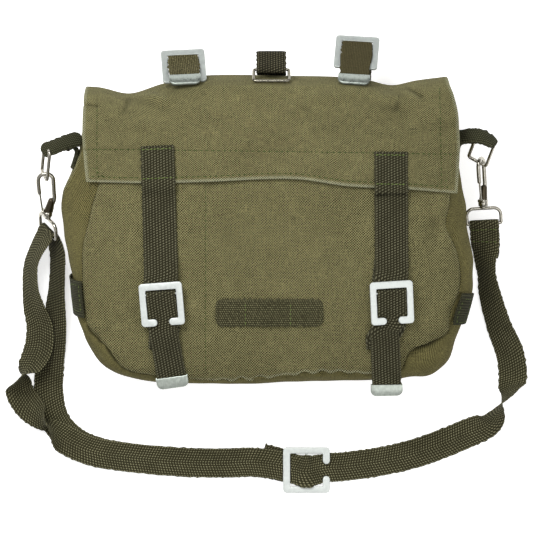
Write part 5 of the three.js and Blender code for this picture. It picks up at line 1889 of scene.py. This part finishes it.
@dataclass(frozen=True)
class Wire:
    """Output of a shader node that can be reckoned with."""

    book: "NodeBook"
    socket: bpy.types.NodeSocket

    def reckon(self, operation: str, *others: "Wire | float", swap: bool = False) -> "Wire":
        """Join this value with others in a math node.

        Args:
            operation: Name of the operation.
            others: Further values.
            swap: Whether the first other value comes first.

        Returns:
            The result.
        """
        values: list[Wire | float] = [self, *others]
        if swap:
            values = [values[1], values[0], *values[2:]]
        node = self.book.node("ShaderNodeMath", {"operation": operation}, dict(enumerate(values)))
        return Wire(self.book, node.outputs[0])

    def __add__(self, other: "Wire | float") -> "Wire":
        """Add."""
        return self.reckon("ADD", other)

    def __sub__(self, other: "Wire | float") -> "Wire":
        """Take another value away."""
        return self.reckon("SUBTRACT", other)

    def __rsub__(self, other: float) -> "Wire":
        """Take this away from a number."""
        return self.reckon("SUBTRACT", other, swap=True)

    def __mul__(self, other: "Wire | float") -> "Wire":
        """Multiply."""
        return self.reckon("MULTIPLY", other)

    def __truediv__(self, other: "Wire | float") -> "Wire":
        """Divide."""
        return self.reckon("DIVIDE", other)

    def __rtruediv__(self, other: float) -> "Wire":
        """Divide a number by this."""
        return self.reckon("DIVIDE", other, swap=True)

    __radd__ = __add__
    __rmul__ = __mul__

    def sin(self) -> "Wire":
        """Take the sine."""
        return self.reckon("SINE")

    def floor(self) -> "Wire":
        """Round down."""
        return self.reckon("FLOOR")

    def size(self) -> "Wire":
        """Drop the sign."""
        return self.reckon("ABSOLUTE")

    def clip(self, low: float, high: float) -> "Wire":
        """Spread a span of values over 0 to 1.

        Args:
            low, high: Values that give 0 and 1.

        Returns:
            The result.
        """
        node = self.book.node("ShaderNodeMapRange", {"interpolation_type": "SMOOTHSTEP"},
                              {"Value": self, "From Min": low, "From Max": high})
        return Wire(self.book, node.outputs[0])


Colour = Triple


def tint(*screen: int) -> Colour:
    """Turn a screen colour, given by red, green and blue from 0 to 255, into a linear one."""
    share = np.array(screen) / 255
    return tuple(np.where(share <= 0.04045, share / 12.92, ((share + 0.055) / 1.055) ** 2.4).tolist())


def dimmed(colour: Colour, share: float) -> Colour:
    """Darken a colour to a share of its light."""
    return tuple(value * share for value in colour)


class NodeBook:
    """Nodes of one material or of the room."""

    def __init__(self, owner: bpy.types.Material | bpy.types.World, shader: str = "Principled BSDF") -> None:
        """Open the nodes of their owner."""
        owner.use_nodes = True
        self.owner, self.tree = owner, owner.node_tree
        self.shader = self.tree.nodes[shader]

    def node(self, kind: str, settings: dict[str, object], values: dict[str | int, object]) -> bpy.types.Node:
        """Make a node.

        Args:
            kind: Type of the node.
            settings: Properties to set first.
            values: Values or wires for its sockets.

        Returns:
            The node.
        """
        made = self.tree.nodes.new(kind)
        for key, value in settings.items():
            setattr(made, key, value)
        self.feed(made, values)
        return made

    def feed(self, node: bpy.types.Node, values: dict[str | int, object]) -> None:
        """Set or link the sockets of a node.

        Args:
            node: The node.
            values: Values or wires for its sockets.
        """
        for key, value in values.items():
            if isinstance(value, Wire):
                self.tree.links.new(value.socket, node.inputs[key])
            elif isinstance(value, tuple) and node.inputs[key].type == "RGBA":
                node.inputs[key].default_value = (*value[:3], 1.0)
            else:
                node.inputs[key].default_value = value

    def place(self, on_cloth: bool = True) -> tuple[Wire, Wire]:
        """Read the place on the cloth or in the piece's own frame, in millimetres.

        Args:
            on_cloth: Whether the place is one on the cloth.

        Returns:
            The places across and along.
        """
        if on_cloth:
            source = self.node("ShaderNodeUVMap", {"uv_map": "cloth"}, {}).outputs[0]
        else:
            source = self.node("ShaderNodeTexCoord", {}, {}).outputs["Object"]
        split = self.node("ShaderNodeSeparateXYZ", {}, {0: Wire(self, source)})
        return Wire(self, split.outputs[0]) * METRE, Wire(self, split.outputs[1]) * METRE

    def wear(self) -> Wire:
        """Read the value painted on the piece for rubbed edges and painted light, pale for rubbed edges and
        painted highlights, dark for painted shade, 0 where there is none.
        """
        source = self.node("ShaderNodeAttribute", {"attribute_name": "wear"}, {})
        return Wire(self, source.outputs["Fac"])

    def noise(self, x: Wire, y: Wire, size_x: float, size_y: float, detail: float, seed: float) -> Wire:
        """Read a soft random field.

        Args:
            x, y: Places across and along.
            size_x, size_y: Size of its spots in millimetres.
            detail: Amount of finer detail.
            seed: Shift that gives another field.

        Returns:
            Values about 0, mostly from -1 to 1.
        """
        spot = self.node("ShaderNodeCombineXYZ", {}, {0: x / size_x, 1: y / size_y, 2: seed})
        values = {"Vector": Wire(self, spot.outputs[0]), "Scale": 1.0, "Detail": detail}
        made = self.node("ShaderNodeTexNoise", {}, values)
        return (Wire(self, made.outputs[0]) - 0.5) * 3.0

    def blend(self, share: Wire, first: Colour | Wire, second: Colour | Wire) -> Wire:
        """Blend two colours by the share of the second one."""
        made = self.node("ShaderNodeMix", {"data_type": "RGBA"}, {0: share, 6: first, 7: second})
        return Wire(self, made.outputs[2])

    def bump(self, height: Wire, distance: float, strength: float = 1.0) -> Wire:
        """Turn a height from 0 to 1, of a size in metres, into a normal."""
        made = self.node("ShaderNodeBump", {}, {"Height": height, "Distance": distance, "Strength": strength})
        return Wire(self, made.outputs[0])


@dataclass(frozen=True)
class CanvasFinish:
    """Faded olive cotton canvas with a plain weave, paler at rubbed edges and on painted highlights, darker
    under painted shade.
    """

    name: str
    base: Colour
    dark: Colour = tint(12, 12, 5)
    pale: Colour = tint(154, 154, 126)
    pitch: float = 2.15

    def make(self) -> bpy.types.Material:
        """Make the material: crossed sines for the weave, with noise for slubs, patches and grain.

        Returns:
            The material.
        """
        book = NodeBook(bpy.data.materials.new(self.name))
        x, y = book.place()
        sway = book.noise(x, y, 14, 14, 2, 2.0) * 2.0
        turn = 2 * math.pi / self.pitch
        cross = (x * turn + sway).sin() * (y * turn - sway).sin() * 2.0
        slub = book.noise(x, y, 9, 0.8, 2, 4.0) + book.noise(x, y, 0.8, 9, 2, 6.0)
        cloud = book.noise(x, y, 45, 38, 4, 1.0)
        patch = book.noise(x, y, 10, 13, 2, 7.0)
        grain = book.noise(x, y, 1.1, 1.1, 2, 9.0)
        thread = cross * (patch * 0.75 + 0.72) + slub * 0.36 + grain * 0.5
        tone = (thread + cloud * 0.16).clip(-0.85, 0.72)
        wear_and_shading_level = book.wear()
        colour = book.blend(tone, self.dark, self.base)
        # Pale stipple for rubbed edges and painted highlights where the painted value is over 0; painted
        # shade where it is under 0.
        stipple = (wear_and_shading_level * (0.75 + grain * 0.55 + cross * 0.35)).clip(0.12, 0.95)
        colour = book.blend(stipple * 0.85, colour, self.pale)
        shade = (0 - wear_and_shading_level).clip(0.0, 1.0)
        colour = book.blend(shade * 0.8, colour, dimmed(self.dark, 0.45))
        normal = book.bump(0.5 + thread * 0.5, 0.0004, 0.6)
        book.feed(book.shader, {
            "Base Color": colour, "Roughness": 0.95, "Normal": normal, "Specular IOR Level": 0.08,
        })
        return book.owner


@dataclass(frozen=True)
class WebbingFinish:
    """Coarse cotton webbing: paler slanted threads in columns, each column a step behind the one before."""

    name: str
    base: Colour
    thread: Colour
    column: float = 2.55
    row: float = 2.2
    step: float = 0.5
    mirrored: bool = False
    contrast: float = 0.9
    fuzz: float = 0.06

    def make(self) -> bpy.types.Material:
        """Make the material: a soft oval spot in each cell of the columns, with noise for the fibres.

        Returns:
            The material.
        """
        book = NodeBook(bpy.data.materials.new(self.name))
        x, y = book.place()
        sway = book.noise(x, y, 14, 14, 1, 3.0)
        across = (x.size() if self.mirrored else x) / self.column + sway * 0.08
        column = across.floor()
        u = across - column - 0.5
        along = y / self.row + column * self.step + u * 0.55 + sway * 0.14
        v = along - along.floor() - 0.5
        spot = (1.0 - (u * u * 6.0 + v * v * 7.5)).clip(0.0, 0.85)
        grain = book.noise(x, y, 0.7, 0.7, 2, 5.0)
        fibre = book.noise(x, y, 0.5, 3.0, 2, 6.0)
        patch = book.noise(x, y, 12, 18, 3, 8.0)
        tuft = book.noise(x, y, 1.7, 1.7, 2, 4.0)
        tone = (spot * (0.86 + patch * 0.28) + grain * 0.16 + fibre * 0.1 + tuft * self.fuzz).clip(0.08, 1.15)
        wear_and_shading_level = book.wear()
        colour = book.blend(tone * self.contrast, self.base, self.thread)
        frayed = (wear_and_shading_level * (0.6 + grain * 0.6)).clip(0.1, 0.9) * 0.55
        colour = book.blend(frayed, colour, self.thread)
        # Painted shade where the painted value is under 0.
        colour = book.blend((0 - wear_and_shading_level).clip(0.0, 1.0), colour, dimmed(self.base, 0.4))
        normal = book.bump(spot + grain * 0.15, 0.0007, 0.85)
        book.feed(book.shader, {
            "Base Color": colour, "Roughness": 0.92, "Normal": normal, "Specular IOR Level": 0.15,
        })
        return book.owner


@dataclass(frozen=True)
class MetalFinish:
    """Plain metal with fine scratches and dull patches."""

    name: str
    base: Colour
    metallic: float
    roughness: float
    patch: float = 0.1
    dull: float = 0.12

    def make(self) -> bpy.types.Material:
        """Make the material: noise of two sizes over the colour, the roughness and the bumps.

        Returns:
            The material.
        """
        book = NodeBook(bpy.data.materials.new(self.name))
        x, y = book.place(on_cloth=False)
        spots = book.noise(x, y, 3.5, 3.5, 4, 1.0)
        fine = book.noise(x, y, 0.7, 2.4, 3, 6.0)
        share = (spots * 0.5 + fine * 0.25).clip(-0.8, 1.0)
        colour = book.blend(share, dimmed(self.base, 1 - self.patch), self.base)
        book.feed(book.shader, {
            "Base Color": colour, "Metallic": self.metallic,
            "Roughness": spots * self.dull + (fine * self.dull * 0.6 + self.roughness),
            "Normal": book.bump(spots * 0.4 + fine * 0.3, 0.00025, 0.5),
        })
        return book.owner


@dataclass(frozen=True)
class ThreadFinish:
    """Cotton sewing thread."""

    name: str
    base: Colour

    def make(self) -> bpy.types.Material:
        """Make the material: noise from dark to pale along the thread.

        Returns:
            The material.
        """
        book = NodeBook(bpy.data.materials.new(self.name))
        x, y = book.place()
        share = book.noise(x, y, 1.5, 4.0, 2, 1.0).clip(-1, 1)
        colour = book.blend(share, dimmed(self.base, 0.55), self.base)
        book.feed(book.shader, {"Base Color": colour, "Roughness": 0.8, "Specular IOR Level": 0.2})
        return book.owner


@dataclass
class Studio:
    """Pale floor, soft lights and the camera over the bag."""

    centre: Pair = (0.42, -25.6)
    width: float = 447.7
    lens: float = 500.0
    sensor: float = 36.0
    level: float = 45.0
    floor_half: float = 6.0
    floor_drop: float = 0.0002
    glow: float = 0.62
    zenith: float = 0.74
    horizon: float = 0.1
    clip: Pair = (0.1, 40.0)
    lights: tuple[tuple[str, Triple, float, float], ...] = (
        ("key_light", (-0.6, 0.85, 1.55), 0.9, 30.0), ("fill_light", (0.9, -0.5, 1.5), 1.4, 8.0),
    )

    def camera(self) -> None:
        """Put the camera straight over the bag."""
        data = bpy.data.cameras.new("camera")
        data.lens = self.lens
        data.sensor_width = self.sensor
        data.clip_start, data.clip_end = self.clip
        distance = self.width * MM * self.lens / self.sensor
        camera = bpy.data.objects.new("camera", data)
        camera.location = (self.centre[0] * MM, self.centre[1] * MM, distance + self.level * MM)
        camera.rotation_euler = (0, 0, 0)
        bpy.context.scene.collection.objects.link(camera)
        bpy.context.scene.camera = camera

    def floor(self) -> Piece:
        """Lay the floor.

        Returns:
            The floor.
        """
        mesh = bpy.data.meshes.new("floor")
        half = self.floor_half
        corners = [(-half, -half, 0), (half, -half, 0), (half, half, 0), (-half, half, 0)]
        mesh.from_pydata(corners, [], [(0, 1, 2, 3)])
        floor = bpy.data.objects.new("floor", mesh)
        floor.location.z = -self.floor_drop
        bpy.context.scene.collection.objects.link(floor)
        book = NodeBook(bpy.data.materials.new("pale_floor"))
        book.feed(book.shader, {
            "Base Color": (0.85, 0.85, 0.85), "Roughness": 1.0, "Specular IOR Level": 0.0,
            "Emission Color": (1.0, 1.0, 1.0), "Emission Strength": self.glow,
        })
        mesh.materials.append(book.owner)
        return floor

    def lamp(self, name: str, place: Triple, size: float, power: float) -> Piece:
        """Hang a soft light that looks at the bag.

        Args:
            name: Name of the light.
            place: Its place in metres.
            size: Width of the light.
            power: Power in watts.

        Returns:
            The light.
        """
        data = bpy.data.lights.new(name, "AREA")
        data.size = size
        data.energy = power
        light = bpy.data.objects.new(name, data)
        light.location = place
        light.rotation_euler = (-Vector(place)).to_track_quat("-Z", "Y").to_euler()
        bpy.context.scene.collection.objects.link(light)
        return light

    def build(self) -> None:
        """Set up the studio."""
        self.camera()
        room = NodeBook(bpy.data.worlds.new("soft_room"), "Background")
        place = room.node("ShaderNodeTexCoord", {}, {})
        split = room.node("ShaderNodeSeparateXYZ", {}, {0: Wire(room, place.outputs["Generated"])})
        rise = room.node("ShaderNodeMapRange", {}, {
            "Value": Wire(room, split.outputs[2]), "From Min": 0.05, "From Max": 0.75,
            "To Min": self.horizon, "To Max": self.zenith,
        })
        room.feed(room.shader, {"Color": (1.0, 1.0, 1.0), "Strength": Wire(room, rise.outputs[0])})
        bpy.context.scene.world = room.owner
        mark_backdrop(self.floor(), *(self.lamp(*light) for light in self.lights))
        bpy.context.scene.view_settings.view_transform = "Standard"


CARRIERS = (
    Carrier(
        Side.LEFT,
        ring_top=vec(-183.5, 74, 57), ring_down=vec(-0.1, -0.86, -0.5), ring_bar=vec(0.28, -0.48, 0.83),
        hook_up=vec(-0.03, 0.85, 0.52), gate_side=vec(-1, 0, 0), eye_wide=vec(0.43, -0.1, 0.88), hang=4.0,
        sleeve=np.array([
            [-154.6, 81.5, 57, 0.1, -0.88, 0.45], [-162, 80.2, 58.5, 0.15, -0.88, 0.45],
            [-170, 77.6, 59.5, 0.2, -0.85, 0.5], [-178, 74.4, 59, 0.25, -0.82, 0.5],
            [-188, 71, 57.5, 0.25, -0.82, 0.5],
        ]),
        leg=np.array([
            [-168, 73.4, 54, 0.2, -0.4, 0.9], [-162.5, 75.4, 51, 0.12, -0.2, 0.96],
            [-158.8, 71.5, 48.5, 0.1, 0, 1], [-160.2, 64, 46.6, 0.1, 0, 1], [-162.4, 57.5, 45, 0.1, 0, 1],
        ]),
    ),
    Carrier(
        Side.RIGHT,
        ring_top=vec(183.7, 79.6, 56), ring_down=vec(-0.22, -0.62, -0.75), ring_bar=vec(0.868, -0.47, 0.15),
        hook_up=vec(-0.06, 0.945, 0.3), gate_side=vec(-0.38, -0.25, 0.89), eye_wide=vec(1, 0, 0), hang=3.5,
        sleeve=np.array([
            [157.5, 81.2, 51, 0.05, -0.8, 0.6], [166, 83.2, 55, 0.05, -0.85, 0.5],
            [174.5, 84, 57.8, 0.05, -0.88, 0.45], [182, 82.6, 58.6, 0.2, -0.86, 0.42],
            [188.5, 79.2, 58.2, 0.4, -0.8, 0.42], [192.6, 76.6, 57.4, 0.45, -0.78, 0.4],
        ]),
        leg=np.array([
            [172, 81, 52, 0.2, -0.4, 0.9], [166.5, 80.6, 48.5, 0.2, -0.3, 0.93],
            [162, 76.5, 46.5, 0, -0.1, 1], [160.8, 70, 45.5, 0, 0, 1],
        ]),
    ),
)
Finish = CanvasFinish | WebbingFinish | MetalFinish | ThreadFinish


@dataclass
class FieldBag:
    """All pieces of the bag, and the finish for each pattern of their names, the first that fits."""

    finishes: tuple[tuple[str, Finish], ...] = (
        ("*_seam_thread", ThreadFinish("seam_thread", tint(60, 78, 30))),
        ("*_thread", ThreadFinish("sewing_thread", tint(104, 122, 62))),
        ("gusset_cloth", CanvasFinish("side_canvas", tint(124, 117, 74))),
        ("*_cloth", CanvasFinish("olive_canvas", tint(129, 124, 86))),
        ("shoulder_strap_*", WebbingFinish(
            "strap_webbing", tint(45, 43, 26), tint(134, 131, 100), 2.1, 2.3, 0.34, True, 1.0)),
        ("centre_tab_*", WebbingFinish(
            "ring_webbing", tint(29, 27, 17), tint(102, 98, 76), 2.2, 2.0, 0.36, True)),
        ("top_tab_left_*", WebbingFinish(
            "tab_webbing", tint(52, 48, 27), tint(136, 130, 93), 1.5, 1.3, fuzz=0.9)),
        # Darker, lower-contrast copy of the tab webbing for the right tab: painted shade on the side away
        # from the light.
        ("top_tab_right_*", WebbingFinish(
            "worn_tab_webbing", tint(56, 51, 30), tint(100, 94, 64), 1.4, 1.2, contrast=0.8, fuzz=0.6)),
        ("keeper_loop_*", WebbingFinish(
            "keeper_webbing", tint(46, 44, 27), tint(120, 117, 86), 1.8, 1.9, contrast=0.95, fuzz=0.75)),
        ("side_loop_* gusset_tab_*", WebbingFinish(
            "loop_webbing", tint(38, 38, 24), tint(100, 100, 76), 1.7, 1.5, 0.36, contrast=0.8)),
        ("*_web", WebbingFinish("dark_webbing", tint(38, 36, 22), tint(114, 112, 88))),
        ("centre_ring_*", MetalFinish("worn_steel", tint(148, 144, 130), 1.0, 0.2, 0.4, 0.06)),
        # Hook bodies: brownish metal darkened with painted shade, for the shadow they lie in.
        ("*_body", MetalFinish("dark_bronze", tint(84, 76, 60), 0.9, 0.35, 0.4)),
        # Darker copy of the frame aluminium for the top frames: painted shade, as they tilt away from the
        # light.
        ("top_frame_*", MetalFinish("dull_frame_aluminium", tint(182, 188, 184), 0.5, 0.42, 0.3)),
        # Darker copy of the tip aluminium for the tilted top tips: painted shade.
        ("top_tip_*", MetalFinish("dull_tip_aluminium", tint(164, 172, 164), 0.85, 0.32, 0.55)),
        ("*_tip_*", MetalFinish("tip_aluminium", tint(204, 212, 202), 0.85, 0.36, 0.5)),
        ("*_plate", MetalFinish("frame_aluminium", tint(213, 218, 214), 0.45, 0.45, 0.25)),
        ("*", MetalFinish("worn_nickel", tint(186, 182, 170), 1.0, 0.13, 0.35, 0.06)),
    )

    def build(self) -> None:
        """Make all pieces."""
        left, right = CARRIERS
        ShoulderStrap(left, right).build()
        FrontPanel().build()
        Gusset().build()
        BackPanel().build()
        FLAP.build()
        Fastening(Side.LEFT, -86.7, -57, 5, (-90.5, 75), -85.6, -85.6, (-78.9, -117.5), 8).build()
        Fastening(Side.RIGHT, 104.8, -55.8, 2.5, (104, 70), 99, 95.5, (100.8, -124), 1).build()
        Keeper().build()
        TopTab(Side.LEFT, (-68.9, 142, 68.5), 3.7, 15, 2.4, 0).build()
        TopTab(Side.RIGHT, (76, 153.7, 57), -4.5, 28, 0, 0.8).build()
        CentreTab().build()
        for carrier in CARRIERS:
            carrier.build()
        GussetTab(Side.LEFT, 5.6, 7.15, 0.45, front=1.02).build()
        GussetTab(Side.RIGHT, 20.5, 21.65, front=0.96).build()

    def dress(self) -> None:
        """Give every piece the first finish with a pattern that fits its name."""
        materials = [(patterns.split(), finish.make()) for patterns, finish in self.finishes]
        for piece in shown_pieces():
            piece.data.materials.clear()
            piece.data.materials.append(next(
                material for patterns, material in materials
                if any(fnmatchcase(piece.name, pattern) for pattern in patterns)
            ))


def main() -> None:
    """Build the scene, report each piece and note the size."""
    logging.basicConfig(level=logging.INFO)
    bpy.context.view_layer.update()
    Studio().build()
    bag = FieldBag()
    bag.build()
    bag.dress()
    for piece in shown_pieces():
        LOG.info("%s has %d faces", piece.name, len(piece.data.polygons))


if __name__ == "__main__":
    main()
